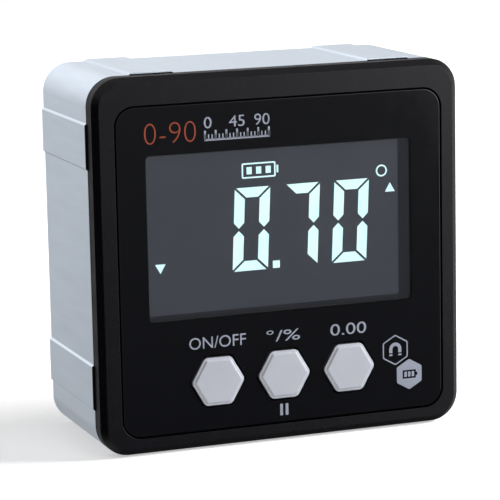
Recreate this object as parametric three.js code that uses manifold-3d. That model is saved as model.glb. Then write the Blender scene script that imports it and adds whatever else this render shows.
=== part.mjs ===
// Digital angle gauge: a square metal ring with raised measuring lands, magnets behind
// them, a moulded front with a lit display and three push buttons, and a screwed back
// cover with a hinged rubber flap over its charging socket.
// Millimetres, +Z up, the display faces -Y, origin under the middle of the base.

import * as THREE from 'three';
import { mergeVertices } from 'three/addons/utils/BufferGeometryUtils.js';
import Module from 'manifold-3d';

const wasm = await Module();
wasm.setup();

// Case
const caseWidth = 60;
const caseHeight = 58.2;
const caseDepth = 26.3;
const caseCorner = 4.5;
const frameWall = 3.2;
const frameChamfer = 0.25;

// Raised measuring lands, with sloping flanks
const landProud = 0.3;
const landRoot = 0.6;
const sideLandWidth = 6.6;
const sideLandMargin = 7.2;
const endLandWidth = 6.6;
const endLandMargin = 7.2;

// Clearances
const seatGap = 0.2;
const filmGap = 0.04;
const runningGap = 0.34;
const overrun = 1;

// Front bezel
const bezelDepth = 3;
const bezelChamfer = 0.95;
const webThickness = 1.4;
const rimThickness = 1.2;
const rimReach = 3.8;
const gasketSlot = 0.36;

// Glossy front panel and the printed mask behind it
const panelSideMargin = 3.35;
const panelEndMargin = 3.7;
const panelCorner = 2.9;
const panelGroove = 0.3;
const panelShift = 0.2;
const panelDrop = 0.9;
const panelInset = 0.06;
const panelThickness = 0.75;
const printThickness = 0.12;

// Display window, with bands of panel round it, and the glass behind it
const windowSideBand = 4.9;
const titleBand = 7.58;
const keyBand = 17.72;
const windowCorner = 0.6;
const windowRelief = 1;
const lcdSideOverlap = 2.05;
const lcdEndOverlap = 2.25;
const lcdCorner = 0.3;
const lcdPlate = 1.1;
const lcdLedge = 3;
const backlightThickness = 2.4;
const backlightMargin = 0.5;
const bracketWall = 0.7;
const connectorMargin = 3.8;
const connectorThickness = 1.6;

// Push buttons
const buttonPitch = 10.95;
const buttonShift = -0.12;
const buttonRise = 7.63;
const buttonFlats = 7.55;
const buttonCorner = 0.6;
const buttonProud = 0.5;
const buttonEdge = 0.12;
const faceInset = 0.28;
const faceRise = 0.2;
const faceBevel = 0.25;
const buttonTravel = 0.35;
const flangeLip = 0.3;
const flangeThickness = 0.8;
const stemRadius = 1.5;
const stemReach = 2.6;

// Rubber seal behind the buttons
const sealWall = 0.7;
const sealFloor = 0.6;
const sealCollar = 0.7;
const sealCollarHeight = 0.6;

// Tactile switches
const switchWidth = 4.6;
const switchCorner = 0.7;
const switchHeight = 1.45;
const plungerRadius = 0.9;
const plungerProud = 0.45;
const plungerDepth = 0.5;

// Main circuit board and what stands on it
const boardFront = 8;
const boardThickness = 1.2;
const boardMargin = 0.8;
const boardNotch = 6.4;
const boardCorner = 0.7;
const processorWidth = 7;
const processorHeight = 1;
const processorSide = 8;
const sensorWidth = 4;
const sensorHeight = 1.1;
const sensorSide = 6;
const chipRise = 12.5;

// Battery, with margins to the walls of the case, its foam pad and its lead
const batterySideMargin = 9.8;
const batteryTopMargin = 4.9;
const batteryBottomMargin = 18.9;
const batteryThickness = 8;
const batteryEdge = 1.5;
const padSideMargin = 3;
const padEndMargin = 4;
const padThickness = 2;
const padCorner = 0.7;
const leadWidth = 2.4;
const leadThickness = 0.5;
const leadDrop = 0.9;
const leadBend = 2;

// Magnets behind the lands, between the rims of the bezel and the back cover
const magnetWidth = 5;
const magnetThickness = 1.8;
const magnetEndGap = 0.99;

// Long pillars for the back screws, short bosses for the board screws
const pillarInset = 5.8;
const pillarRadius = 2.4;
const bossRadius = 1.9;
const bossLowMargin = 4.6;
const bossHighMargin = 14.8;
const bossTopMargin = 2.5;

// Back cover
const rebateDepth = 2.5;
const rebateEdge = 1.6;
const gasketThickness = 0.3;
const coverInset = 0.2;
const coverChamfer = 0.3;
const coverRimThickness = 1;
const coverRimReach = 1.4;

// Screws
const backScrewRadius = 1.15;
const backScrewLength = 8;
const backHeadRadius = 2.1;
const backHeadHeight = 1;
const boardScrewRadius = 0.8;
const boardScrewLength = 4.5;
const boardHeadRadius = 1.6;
const boardHeadHeight = 0.9;
const threadGap = 0.1;
const crossShare = 0.62;
const crossWidthShare = 0.16;
const crossDepthShare = 0.6;
const tipShare = 0.5;

// Charging socket, its board, and the flap that covers it
const socketWidth = 8.9;
const socketHeight = 3.2;
const socketWall = 0.3;
const socketFloor = 1;
const socketLength = 7.3;
const socketRise = 10;
const tongueWidth = 6.6;
const tongueThickness = 0.7;
const tongueLength = 5;
const chargeBoardWidth = 14;
const chargeBoardLength = 8;
const chargeBoardThickness = 1;
const chargeLeadWidth = 4;
const chargeLeadThickness = 0.3;
const chargeLeadBow = 1.6;
const railWidth = 2;
const railHeight = 5;
const flapWidth = 14;
const flapHeight = 8.6;
const flapThickness = 1;
const flapCorner = 1.6;
const flapPlugDepth = 0.7;
const fingerNotchRadius = 2.2;

// Smoothness: half the steps of a quarter turn, and the steps of a whole one
const caseSteps = 4;
const panelSteps = 3;
const smallSteps = 1;
const softSteps = 2;
const headSteps = 20;
const holeSteps = 12;

// Places that follow from the sizes; depths run back from the face of the bezel
const frameFront = bezelDepth + gasketSlot;
const recessDepth = panelInset + panelThickness + 2 * filmGap + printThickness;
const webBack = recessDepth + webThickness;
const rimEnd = bezelDepth + rimReach;
const rebateFloor = caseDepth - rebateDepth;
const coverBack = caseDepth - coverInset;
const coverFront = rebateFloor + gasketThickness + 2 * filmGap;
const boardBack = boardFront + boardThickness;
const holeFlats = buttonFlats + 2 * runningGap;
const flangeFlats = holeFlats + 2 * flangeLip;
const flangeFront = webBack + seatGap;
const flangeBack = flangeFront + flangeThickness;
const sealFloorFront = flangeBack + buttonTravel + seatGap;
const sealFloorBack = sealFloorFront + sealFloor;
const stemEnd = flangeBack + stemReach;
const switchFront = boardFront - filmGap - switchHeight;
const cavityWidth = caseWidth - 2 * frameWall;
const cavityHeight = caseHeight - 2 * frameWall;
const cavityCorner = caseCorner - frameWall;
const panelWidth = caseWidth - 2 * panelSideMargin;
const panelHeight = caseHeight - 2 * panelEndMargin;
const panelBottom = -panelDrop - panelHeight / 2;
const windowWidth = panelWidth - 2 * windowSideBand;
const windowHeight = panelHeight - titleBand - keyBand;
const windowPlace = panelBottom + keyBand + windowHeight / 2;
const lcdWidth = windowWidth + 2 * lcdSideOverlap;
const lcdHeight = windowHeight + 2 * lcdEndOverlap;
const lcdBack = flangeFront + 2 * lcdPlate;
const bracketWidth = lcdWidth + 2 * (bracketWall + filmGap);
const bracketHeight = lcdHeight + 2 * (bracketWall + filmGap);
const bracketBack = boardFront - seatGap;
const buttonPlace = panelBottom + buttonRise;
const boardWidth = cavityWidth - 2 * boardMargin;
const boardHeight = cavityHeight - 2 * boardMargin;
const chipPlace = chipRise - boardHeight / 2;
const batteryWidth = cavityWidth - 2 * batterySideMargin;
const batteryHeight = cavityHeight - batteryTopMargin - batteryBottomMargin;
const batteryPlace = cavityHeight / 2 - batteryTopMargin - batteryHeight / 2;
const padFront = boardBack + filmGap;
const batteryFront = padFront + padThickness + filmGap;
const magnetFront = rimEnd + magnetEndGap;
const magnetBack = coverFront - coverRimReach - magnetEndGap;
const socketPlace = socketRise - caseHeight / 2;
const socketCorner = socketHeight / 2 - socketWall / 2;
const socketBack = coverBack - flapThickness - 2 * seatGap;
const chargeBoardPlace = socketPlace - socketHeight / 2 - filmGap - chargeBoardThickness / 2;
const chargeBoardFront = coverFront - seatGap - chargeBoardLength;
const flapRecess = { width: flapWidth + 2 * seatGap, height: flapHeight + 2 * seatGap };

const finishes = {
  aluminium: new THREE.MeshStandardMaterial({ color: 0xb9bdc4, roughness: 0.35, metalness: 1 }),
  bezelPlastic: new THREE.MeshStandardMaterial({ color: 0x202023, roughness: 0.45, metalness: 0 }),
  panelAcrylic: new THREE.MeshStandardMaterial({ color: 0x1b1b20, roughness: 0.05, metalness: 0 }),
  printInk: new THREE.MeshStandardMaterial({ color: 0x0b0b0e, roughness: 0.6, metalness: 0 }),
  displayGlass: new THREE.MeshStandardMaterial({ color: 0x45474d, roughness: 0.1, metalness: 0 }),
  lightGuide: new THREE.MeshStandardMaterial({ color: 0xe6ebee, roughness: 0.4, metalness: 0 }),
  whitePlastic: new THREE.MeshStandardMaterial({ color: 0xd9d9d6, roughness: 0.5, metalness: 0 }),
  buttonPlastic: new THREE.MeshStandardMaterial({ color: 0xdcdcd8, roughness: 0.4, metalness: 0 }),
  blackRubber: new THREE.MeshStandardMaterial({ color: 0x141415, roughness: 0.85, metalness: 0 }),
  boardGreen: new THREE.MeshStandardMaterial({ color: 0x1f5a35, roughness: 0.5, metalness: 0 }),
  chipBlack: new THREE.MeshStandardMaterial({ color: 0x17181a, roughness: 0.5, metalness: 0 }),
  foam: new THREE.MeshStandardMaterial({ color: 0x55585c, roughness: 0.95, metalness: 0 }),
  cellWrap: new THREE.MeshStandardMaterial({ color: 0xb8bcc2, roughness: 0.35, metalness: 0.6 }),
  leadSheath: new THREE.MeshStandardMaterial({ color: 0x8c1d18, roughness: 0.5, metalness: 0 }),
  magnetNickel: new THREE.MeshStandardMaterial({ color: 0x9da0a3, roughness: 0.25, metalness: 1 }),
  steel: new THREE.MeshStandardMaterial({ color: 0x8d9094, roughness: 0.35, metalness: 1 }),
};

// A geometry's welded triangles as a solid, with the slivers at a pole left out
function toSolid(geometry) {
  const plain = new THREE.BufferGeometry();
  plain.setAttribute('position', geometry.getAttribute('position'));
  plain.setIndex(geometry.index);
  const welded = mergeVertices(plain);
  const corners = [];
  for (let i = 0; i < welded.index.count; i += 3) {
    const [a, b, c] = [0, 1, 2].map((k) => welded.index.getX(i + k));
    if (a !== b && b !== c && c !== a) corners.push(a, b, c);
  }
  const mesh = new wasm.Mesh({
    numProp: 3,
    vertProperties: new Float32Array(welded.getAttribute('position').array),
    triVerts: new Uint32Array(corners),
  });
  return new wasm.Manifold(mesh);
}

function toGeometry(solid) {
  const mesh = solid.getMesh();
  const geometry = new THREE.BufferGeometry();
  geometry.setAttribute('position', new THREE.BufferAttribute(mesh.vertProperties, 3));
  geometry.setIndex(new THREE.BufferAttribute(mesh.triVerts, 1));
  return geometry;
}

function join(...geometries) {
  return toGeometry(geometries.map(toSolid).reduce((whole, piece) => whole.add(piece)));
}

function cut(geometry, ...tools) {
  return toGeometry(tools.map(toSolid).reduce((whole, tool) => whole.subtract(tool), toSolid(geometry)));
}

function roundedRectangle(width, height, radius, x = 0, z = 0) {
  const shape = new THREE.Shape();
  const right = width / 2 - radius;
  const top = height / 2 - radius;
  shape.absarc(x + right, z + top, radius, 0, Math.PI / 2);
  shape.absarc(x - right, z + top, radius, Math.PI / 2, Math.PI);
  shape.absarc(x - right, z - top, radius, Math.PI, 1.5 * Math.PI);
  shape.absarc(x + right, z - top, radius, 1.5 * Math.PI, 2 * Math.PI);
  return shape;
}

// A hexagon with a corner at each side, its two halves drawn apart and its corners softened
function roundedHexagon(flats, softening, apart = 0) {
  const corner = (index) => {
    const angle = (index * Math.PI) / 3;
    const place = new THREE.Vector2(Math.cos(angle), Math.sin(angle)).multiplyScalar(flats / Math.sqrt(3));
    place.x += Math.sign(place.x) * apart;
    return place;
  };
  const towards = (here, other) => here.clone().lerp(other, softening / here.distanceTo(other));
  const shape = new THREE.Shape();
  for (let index = 0; index < 6; index += 1) {
    const here = corner(index);
    const before = towards(here, corner(index - 1));
    const after = towards(here, corner(index + 1));
    if (index === 0) shape.moveTo(before.x, before.y);
    else shape.lineTo(before.x, before.y);
    shape.quadraticCurveTo(here.x, here.y, after.x, after.y);
  }
  shape.closePath();
  return shape;
}

// A shape drawn in X and Z, run back in Y from one depth to another
function slab(shape, front, back, steps = smallSteps, bevel = 0) {
  const geometry = new THREE.ExtrudeGeometry(shape, {
    depth: back - front - 2 * bevel,
    curveSegments: steps,
    bevelEnabled: bevel > 0,
    bevelThickness: bevel,
    bevelSize: bevel,
    bevelOffset: -bevel,
    bevelSegments: 1,
  });
  geometry.rotateX(Math.PI / 2);
  geometry.translate(0, back - bevel, 0);
  return geometry;
}

// A shape drawn in depth and height, run across in X about the middle
function ribbon(shape, width) {
  const geometry = new THREE.ExtrudeGeometry(shape, {
    depth: width,
    curveSegments: panelSteps,
    bevelEnabled: false,
  });
  const [across, depth, height] = [0, 1, 2].map((index) => new THREE.Vector3().setComponent(index, 1));
  geometry.translate(0, 0, -width / 2);
  geometry.applyMatrix4(new THREE.Matrix4().makeBasis(depth, height, across));
  return geometry;
}

function round(radius, front, back, x = 0, z = 0, steps = holeSteps) {
  const geometry = new THREE.CylinderGeometry(radius, radius, back - front, steps);
  geometry.translate(x, (front + back) / 2, z);
  return geometry;
}

// One round pin, or the cutter of one bore, at each place
function pins(places, radius, front, back, steps = holeSteps) {
  return places.map(({ x, z }) => round(radius, front, back, x, z, steps));
}

function block(width, depth, height, x, y, z) {
  const geometry = new THREE.BoxGeometry(width, depth, height);
  geometry.translate(x, y, z);
  return geometry;
}

// A closed skin through the outline of each section, one section behind the other
function loft(sections) {
  const outlines = sections.map(({ shape }) => shape.getPoints(caseSteps).slice(0, -1));
  const count = outlines[0].length;
  const places = [];
  outlines.forEach((outline, level) => {
    outline.forEach((point) => places.push(point.x, sections[level].depth, point.y));
  });
  const corners = [];
  for (let level = 0; level + 1 < outlines.length; level += 1) {
    for (let i = 0; i < count; i += 1) {
      const next = (i + 1) % count;
      const [a, b] = [level * count + i, level * count + next];
      corners.push(a, a + count, b + count, a, b + count, b);
    }
  }
  const last = (outlines.length - 1) * count;
  THREE.ShapeUtils.triangulateShape(outlines[0], []).forEach(([a, b, c]) => {
    corners.push(a, b, c, last + a, last + c, last + b);
  });
  const geometry = new THREE.BufferGeometry();
  geometry.setAttribute('position', new THREE.Float32BufferAttribute(places, 3));
  geometry.setIndex(corners);
  return geometry;
}

// A plate with the case's outline, drawn in by an inset that changes along its depth
function casePlate(levels) {
  return loft(levels.map(({ depth, inset }) => ({
    depth,
    shape: roundedRectangle(caseWidth - 2 * inset, caseHeight - 2 * inset, caseCorner - inset),
  })));
}

// The four faces of the case, each with a way to turn "along and out" into X and Z
const faces = {
  left: { turn: (along, out) => new THREE.Vector2(-caseWidth / 2 - out, along), side: true },
  right: { turn: (along, out) => new THREE.Vector2(caseWidth / 2 + out, along), side: true },
  top: { turn: (along, out) => new THREE.Vector2(along, caseHeight / 2 + out), side: false },
  bottom: { turn: (along, out) => new THREE.Vector2(along, -caseHeight / 2 - out), side: false },
};
const sideLandPlace = caseHeight / 2 - sideLandMargin - sideLandWidth / 2;
const endLandPlace = caseWidth / 2 - endLandMargin - endLandWidth / 2;
const lands = ['left', 'right'].flatMap((face) => [
  { face, name: 'lower', along: -sideLandPlace, width: sideLandWidth },
  { face, name: 'upper', along: sideLandPlace, width: sideLandWidth },
]).concat(['top', 'bottom'].flatMap((face) => [
  { face, name: 'left', along: -endLandPlace, width: endLandWidth },
  { face, name: 'right', along: endLandPlace, width: endLandWidth },
]));

// One land: a flat strip with 45 degree flanks, rooted in the wall
function landStrip({ face, along, width }, front, back) {
  const { turn } = faces[face];
  const half = width / 2;
  const outline = [
    turn(along - half - landProud, 0),
    turn(along - half, landProud),
    turn(along + half, landProud),
    turn(along + half + landProud, 0),
    turn(along + half + landProud, -landRoot),
    turn(along - half - landProud, -landRoot),
  ];
  return slab(new THREE.Shape(outline), front, back);
}

// A bar magnet set into the inner side of the wall, or with a margin the pocket for it
function magnetBlock({ face, along }, margin) {
  const { turn, side } = faces[face];
  const centre = turn(along, magnetThickness / 2 - frameWall);
  const across = magnetWidth + 2 * margin;
  const through = magnetThickness + 2 * margin;
  const length = magnetBack - magnetFront + 2 * margin;
  return {
    size: side ? [through, length, across] : [across, length, through],
    place: [centre.x, (magnetFront + magnetBack) / 2, centre.y],
  };
}

const cavity = roundedRectangle(cavityWidth, cavityHeight, cavityCorner);

// A rim that slips into the case, or with a wall the hollow inside that rim
function rimOutline(wall = 0) {
  return roundedRectangle(
    cavityWidth - 2 * (seatGap + wall),
    cavityHeight - 2 * (seatGap + wall),
    cavityCorner - seatGap,
  );
}

// The glossy panel's outline, or with a margin the recess for it
function panelOutline(margin = 0) {
  return roundedRectangle(
    panelWidth + 2 * margin,
    panelHeight + 2 * margin,
    panelCorner + margin,
    panelShift,
    -panelDrop,
  );
}

const pillarPlaces = [[-1, 1], [1, 1], [1, -1], [-1, -1]].map(([x, z]) => (
  { x: x * (caseWidth / 2 - pillarInset), z: z * (caseHeight / 2 - pillarInset) }));
const highBoss = { x: cavityWidth / 2 - bossHighMargin, z: cavityHeight / 2 - bossTopMargin };
const lowBoss = {
  x: cavityWidth / 2 - bossLowMargin,
  z: windowPlace - bracketHeight / 2 - runningGap - bossRadius,
};
const bossPlaces = [
  { x: -highBoss.x, z: highBoss.z },
  highBoss,
  lowBoss,
  { x: -lowBoss.x, z: lowBoss.z },
];
const buttons = ['power', 'mode', 'zero'].map((name, index) => (
  { name, x: buttonShift + (index - 1) * buttonPitch, z: buttonPlace }));

function makeFrame() {
  const outer = casePlate([
    { depth: frameFront, inset: frameChamfer },
    { depth: frameFront + frameChamfer, inset: 0 },
    { depth: caseDepth - frameChamfer, inset: 0 },
    { depth: caseDepth, inset: frameChamfer },
  ]);
  const strips = lands.map((land) => landStrip(land, frameFront, caseDepth - frameChamfer));
  const rebate = roundedRectangle(
    caseWidth - 2 * rebateEdge,
    caseHeight - 2 * rebateEdge,
    caseCorner - rebateEdge,
  );
  const pockets = lands.map((land) => {
    const { size, place } = magnetBlock(land, seatGap);
    return block(...size, ...place);
  });
  return cut(
    join(outer, ...strips),
    slab(cavity, frameFront - overrun, caseDepth, softSteps),
    slab(rebate, rebateFloor, caseDepth + overrun, panelSteps),
    ...pockets,
  );
}

function makeFrontGasket() {
  const front = bezelDepth + filmGap;
  const back = frameFront - filmGap;
  const sheet = slab(roundedRectangle(caseWidth, caseHeight, caseCorner), front, back, caseSteps);
  const strips = lands.map((land) => landStrip(land, front, back));
  return cut(join(sheet, ...strips), slab(cavity, front - overrun, back + overrun, softSteps));
}

function placed(geometry, x, z) {
  return geometry.clone().translate(x, 0, z);
}

function buttonHoles(front, back) {
  const hole = slab(roundedHexagon(holeFlats, buttonCorner), front, back, softSteps);
  return buttons.map(({ x, z }) => placed(hole, x, z));
}

function makeBezel() {
  const shell = casePlate([
    { depth: 0, inset: bezelChamfer },
    { depth: bezelChamfer, inset: 0 },
    { depth: bezelDepth, inset: 0 },
  ]);
  const rim = slab(rimOutline(), bezelDepth - overrun, rimEnd, softSteps);
  const hollow = slab(rimOutline(rimThickness), webBack, rimEnd + overrun);
  const recess = slab(panelOutline(panelGroove), -overrun, recessDepth, panelSteps);
  const opening = slab(
    roundedRectangle(
      windowWidth + 2 * windowRelief,
      windowHeight + 2 * windowRelief,
      windowCorner,
      0,
      windowPlace,
    ),
    -overrun,
    webBack + overrun,
  );
  const tray = cut(join(shell, rim), hollow, recess, opening, ...buttonHoles(-overrun, webBack + overrun));
  const root = webBack - webThickness / 2;
  const pillars = pins(pillarPlaces, pillarRadius, root, rebateFloor);
  const bosses = pins(bossPlaces, bossRadius, root, boardFront - filmGap);
  const pillarPilots = pins(
    pillarPlaces,
    backScrewRadius + threadGap,
    rebateFloor - backScrewLength,
    rebateFloor + overrun,
  );
  const bossPilots = pins(
    bossPlaces,
    boardScrewRadius + threadGap,
    boardBack - boardScrewLength - seatGap,
    boardFront + overrun,
  );
  return cut(join(tray, ...pillars, ...bosses), ...pillarPilots, ...bossPilots);
}

function makePanel() {
  const sheet = slab(panelOutline(), panelInset, panelInset + panelThickness, panelSteps);
  return cut(sheet, ...buttonHoles(0, recessDepth));
}

function makePrint() {
  const front = panelInset + panelThickness + filmGap;
  const sheet = slab(panelOutline(), front, front + printThickness, panelSteps);
  const window = slab(
    roundedRectangle(windowWidth, windowHeight, windowCorner, 0, windowPlace),
    0,
    recessDepth,
  );
  return cut(sheet, window, ...buttonHoles(0, recessDepth));
}

// Two bonded glass plates; the rear one stops short and leaves a ledge of contacts
function makeLcdGlass() {
  const front = flangeFront;
  const middle = front + lcdPlate;
  const frontPlate = slab(roundedRectangle(lcdWidth, lcdHeight, lcdCorner, 0, windowPlace), front, middle);
  const rearPlate = slab(
    roundedRectangle(lcdWidth, lcdHeight - lcdLedge, lcdCorner, 0, windowPlace + lcdLedge / 2),
    front,
    middle + lcdPlate,
  );
  return join(frontPlate, rearPlate);
}

function makeBacklight() {
  return slab(
    roundedRectangle(
      lcdWidth - 2 * backlightMargin,
      lcdHeight - lcdLedge - 2 * backlightMargin,
      lcdCorner,
      0,
      windowPlace + lcdLedge / 2,
    ),
    lcdBack + filmGap,
    lcdBack + filmGap + backlightThickness,
  );
}

function makeBracket() {
  const outer = roundedRectangle(bracketWidth, bracketHeight, bracketWall, 0, windowPlace);
  const inner = roundedRectangle(
    lcdWidth + 2 * filmGap,
    lcdHeight + 2 * filmGap,
    lcdCorner,
    0,
    windowPlace,
  );
  return cut(slab(outer, flangeFront, bracketBack), slab(inner, webBack, boardFront));
}

function makeConnector() {
  const front = flangeFront + lcdPlate + filmGap;
  const z = windowPlace - lcdHeight / 2 + lcdLedge / 2;
  const length = lcdWidth - 2 * connectorMargin;
  return block(length, bracketBack - front, connectorThickness, 0, (front + bracketBack) / 2, z);
}

// A cap whose raised face leaves a narrow rim, a flange that stops behind the bezel, and a stem
function makeButton() {
  const cap = slab(
    roundedHexagon(buttonFlats, buttonCorner),
    faceRise - buttonProud,
    flangeBack,
    softSteps,
    buttonEdge,
  );
  const face = slab(
    roundedHexagon(buttonFlats - 2 * faceInset, buttonCorner - faceInset),
    -buttonProud,
    flangeFront,
    softSteps,
    faceBevel,
  );
  const flange = slab(roundedHexagon(flangeFlats, buttonCorner), flangeFront, flangeBack);
  const stem = round(stemRadius, flangeBack - flangeThickness / 2, stemEnd);
  return join(cap, face, flange, stem);
}

// A rubber tray with pointed ends that follow the outer flanges, and a collar round each stem
function makeSeal() {
  const innerFlats = flangeFlats + 2 * seatGap;
  const outer = roundedHexagon(innerFlats + 2 * sealWall, sealWall, buttonPitch);
  const inner = roundedHexagon(innerFlats, sealWall / 2, buttonPitch);
  const tray = placed(
    cut(slab(outer, webBack + filmGap, sealFloorBack), slab(inner, webBack, sealFloorFront)),
    buttonShift,
    buttonPlace,
  );
  const collarEnd = sealFloorBack + sealCollarHeight;
  const collarRadius = stemRadius + seatGap + sealCollar;
  const collars = pins(buttons, collarRadius, sealFloorBack - sealFloor / 2, collarEnd);
  const holes = pins(buttons, stemRadius + seatGap, sealFloorFront - overrun, collarEnd + overrun);
  return cut(join(tray, ...collars), ...holes);
}

function makeSwitch() {
  const back = switchFront + switchHeight;
  const housing = slab(roundedRectangle(switchWidth, switchWidth, switchCorner), switchFront, back);
  const bore = round(
    plungerRadius + seatGap,
    switchFront - overrun,
    switchFront + plungerDepth + buttonTravel + filmGap,
  );
  return cut(housing, bore);
}

function makePlunger() {
  return round(plungerRadius, switchFront - plungerProud, switchFront + plungerDepth);
}

function makeMainBoard() {
  const sheet = slab(roundedRectangle(boardWidth, boardHeight, boardCorner), boardFront, boardBack);
  const notches = pillarPlaces.map(({ x, z }) => block(
    boardNotch,
    boardThickness + 2 * overrun,
    boardNotch,
    x,
    (boardFront + boardBack) / 2,
    z,
  ));
  const holes = pins(bossPlaces, boardScrewRadius + threadGap, boardFront - overrun, boardBack + overrun);
  return cut(sheet, ...notches, ...holes);
}

function makeChip(width, height) {
  return slab(
    roundedRectangle(width, width, height / 4),
    boardBack + filmGap,
    boardBack + filmGap + height,
  );
}

function makePad() {
  const width = batteryWidth - 2 * padSideMargin;
  const height = batteryHeight - 2 * padEndMargin;
  return slab(
    roundedRectangle(width, height, padCorner, 0, batteryPlace),
    padFront,
    padFront + padThickness,
  );
}

function makeBattery() {
  return slab(
    roundedRectangle(batteryWidth, batteryHeight, batteryEdge, 0, batteryPlace),
    batteryFront,
    batteryFront + batteryThickness,
    softSteps,
    batteryEdge / 2,
  );
}

// A flat two-core lead: down out of the battery's lower end, then forward to the board
function makeBatteryLead() {
  const end = batteryPlace - batteryHeight / 2 - filmGap;
  const middle = batteryFront + batteryThickness / 2;
  const bend = { depth: middle - leadBend, height: end - leadDrop };
  const [tight, wide] = [leadBend - leadThickness / 2, leadBend + leadThickness / 2];
  const shape = new THREE.Shape();
  shape.moveTo(middle + leadThickness / 2, end);
  shape.lineTo(middle - leadThickness / 2, end);
  shape.absarc(bend.depth, bend.height, tight, 0, -Math.PI / 2, true);
  shape.lineTo(boardBack + filmGap, bend.height - tight);
  shape.lineTo(boardBack + filmGap, bend.height - wide);
  shape.absarc(bend.depth, bend.height, wide, -Math.PI / 2, 0, false);
  return ribbon(shape, leadWidth);
}

// A screw turned about its own axis, head to the back, with a cross slot in the head
function makeScrew(shankRadius, shankLength, headRadius, headHeight) {
  const profile = [
    [0, -shankLength],
    [shankRadius * tipShare, -shankLength],
    [shankRadius, -shankLength + shankRadius * tipShare],
    [shankRadius, 0],
    [headRadius, 0],
    [headRadius, headHeight / 2],
    [headRadius * (1 - crossWidthShare), headHeight],
    [0, headHeight],
  ].map(([x, y]) => new THREE.Vector2(x, y));
  const turned = new THREE.LatheGeometry(profile, headSteps);
  const reach = 2 * headRadius * crossShare;
  const thin = 2 * headRadius * crossWidthShare;
  const deep = headHeight * crossDepthShare;
  const slotDepth = deep + overrun;
  const centre = headHeight - deep + slotDepth / 2;
  return cut(
    turned,
    block(reach, slotDepth, thin, 0, centre, 0),
    block(thin, slotDepth, reach, 0, centre, 0),
  );
}

function makeRearGasket() {
  const front = rebateFloor + filmGap;
  const back = front + gasketThickness;
  const outer = roundedRectangle(
    caseWidth - 2 * (rebateEdge + seatGap),
    caseHeight - 2 * (rebateEdge + seatGap),
    caseCorner - rebateEdge - seatGap,
  );
  return cut(
    slab(outer, front, back, panelSteps),
    slab(cavity, front - overrun, back + overrun, softSteps),
  );
}

function makeCover() {
  const edge = rebateEdge + seatGap;
  const plate = casePlate([
    { depth: coverFront, inset: edge },
    { depth: coverBack - coverChamfer, inset: edge },
    { depth: coverBack, inset: edge + coverChamfer },
  ]);
  const rimFront = coverFront - coverRimReach;
  const rim = cut(
    slab(rimOutline(), rimFront, coverFront + filmGap),
    slab(rimOutline(coverRimThickness), rimFront - overrun, coverFront + overrun),
  );
  const railFront = coverFront - chargeBoardLength;
  const railCentre = (railFront + coverFront + filmGap) / 2;
  const rails = [-1, 1].map((side) => block(
    railWidth,
    coverFront + filmGap - railFront,
    railHeight,
    side * (chargeBoardWidth / 2),
    railCentre,
    chargeBoardPlace,
  ));
  const slot = block(
    chargeBoardWidth + 2 * seatGap,
    chargeBoardLength + overrun,
    chargeBoardThickness + 2 * seatGap,
    0,
    coverFront - (chargeBoardLength + overrun) / 2,
    chargeBoardPlace,
  );
  const recess = slab(
    roundedRectangle(flapRecess.width, flapRecess.height, flapCorner + seatGap, 0, socketPlace),
    coverBack - flapThickness - seatGap,
    coverBack + overrun,
    softSteps,
  );
  const fingerNotch = round(
    fingerNotchRadius,
    coverBack - flapThickness / 2,
    coverBack + overrun,
    0,
    socketPlace - flapRecess.height / 2,
    headSteps,
  );
  const mouth = slab(
    roundedRectangle(
      socketWidth + 2 * runningGap,
      socketHeight + 2 * runningGap,
      socketHeight / 2,
      0,
      socketPlace,
    ),
    coverFront - overrun,
    coverBack + overrun,
    panelSteps,
  );
  const clearances = pins(pillarPlaces, pillarRadius + runningGap, rimFront - overrun, coverFront);
  const holes = pins(pillarPlaces, backScrewRadius + threadGap, coverFront - overrun, coverBack + overrun);
  const counterbores = pins(
    pillarPlaces,
    backHeadRadius + seatGap,
    coverBack - backHeadHeight - seatGap,
    coverBack + overrun,
    headSteps,
  );
  return cut(
    join(plate, rim, ...rails),
    slot,
    recess,
    fingerNotch,
    mouth,
    ...clearances,
    ...holes,
    ...counterbores,
  );
}

function makeChargeBoard() {
  return block(
    chargeBoardWidth,
    chargeBoardLength,
    chargeBoardThickness,
    0,
    chargeBoardFront + chargeBoardLength / 2,
    chargeBoardPlace,
  );
}

// A flat strip that bows on its way from the charging board forward to the main board
function makeChargeLead() {
  const front = boardBack + filmGap;
  const back = chargeBoardFront - filmGap;
  const [low, high] = [-1, 1].map((side) => chargeBoardPlace + (side * chargeLeadThickness) / 2);
  const shape = new THREE.Shape();
  shape.moveTo(back, high);
  shape.quadraticCurveTo((front + back) / 2, high + chargeLeadBow, front, high);
  shape.lineTo(front, low);
  shape.quadraticCurveTo((front + back) / 2, low + chargeLeadBow, back, low);
  return ribbon(shape, chargeLeadWidth);
}

// A drawn shell open to the back, with the contact tongue standing on its inner wall
function makeSocket() {
  const front = socketBack - socketLength;
  const shell = slab(
    roundedRectangle(socketWidth, socketHeight, socketCorner, 0, socketPlace),
    front,
    socketBack,
    panelSteps,
  );
  const bore = slab(
    roundedRectangle(
      socketWidth - 2 * socketWall,
      socketHeight - 2 * socketWall,
      socketCorner - socketWall,
      0,
      socketPlace,
    ),
    front + socketFloor,
    socketBack + overrun,
    panelSteps,
  );
  const tongue = block(
    tongueWidth,
    tongueLength + socketFloor,
    tongueThickness,
    0,
    front + (tongueLength + socketFloor) / 2,
    socketPlace,
  );
  return join(cut(shell, bore), tongue);
}

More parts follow.
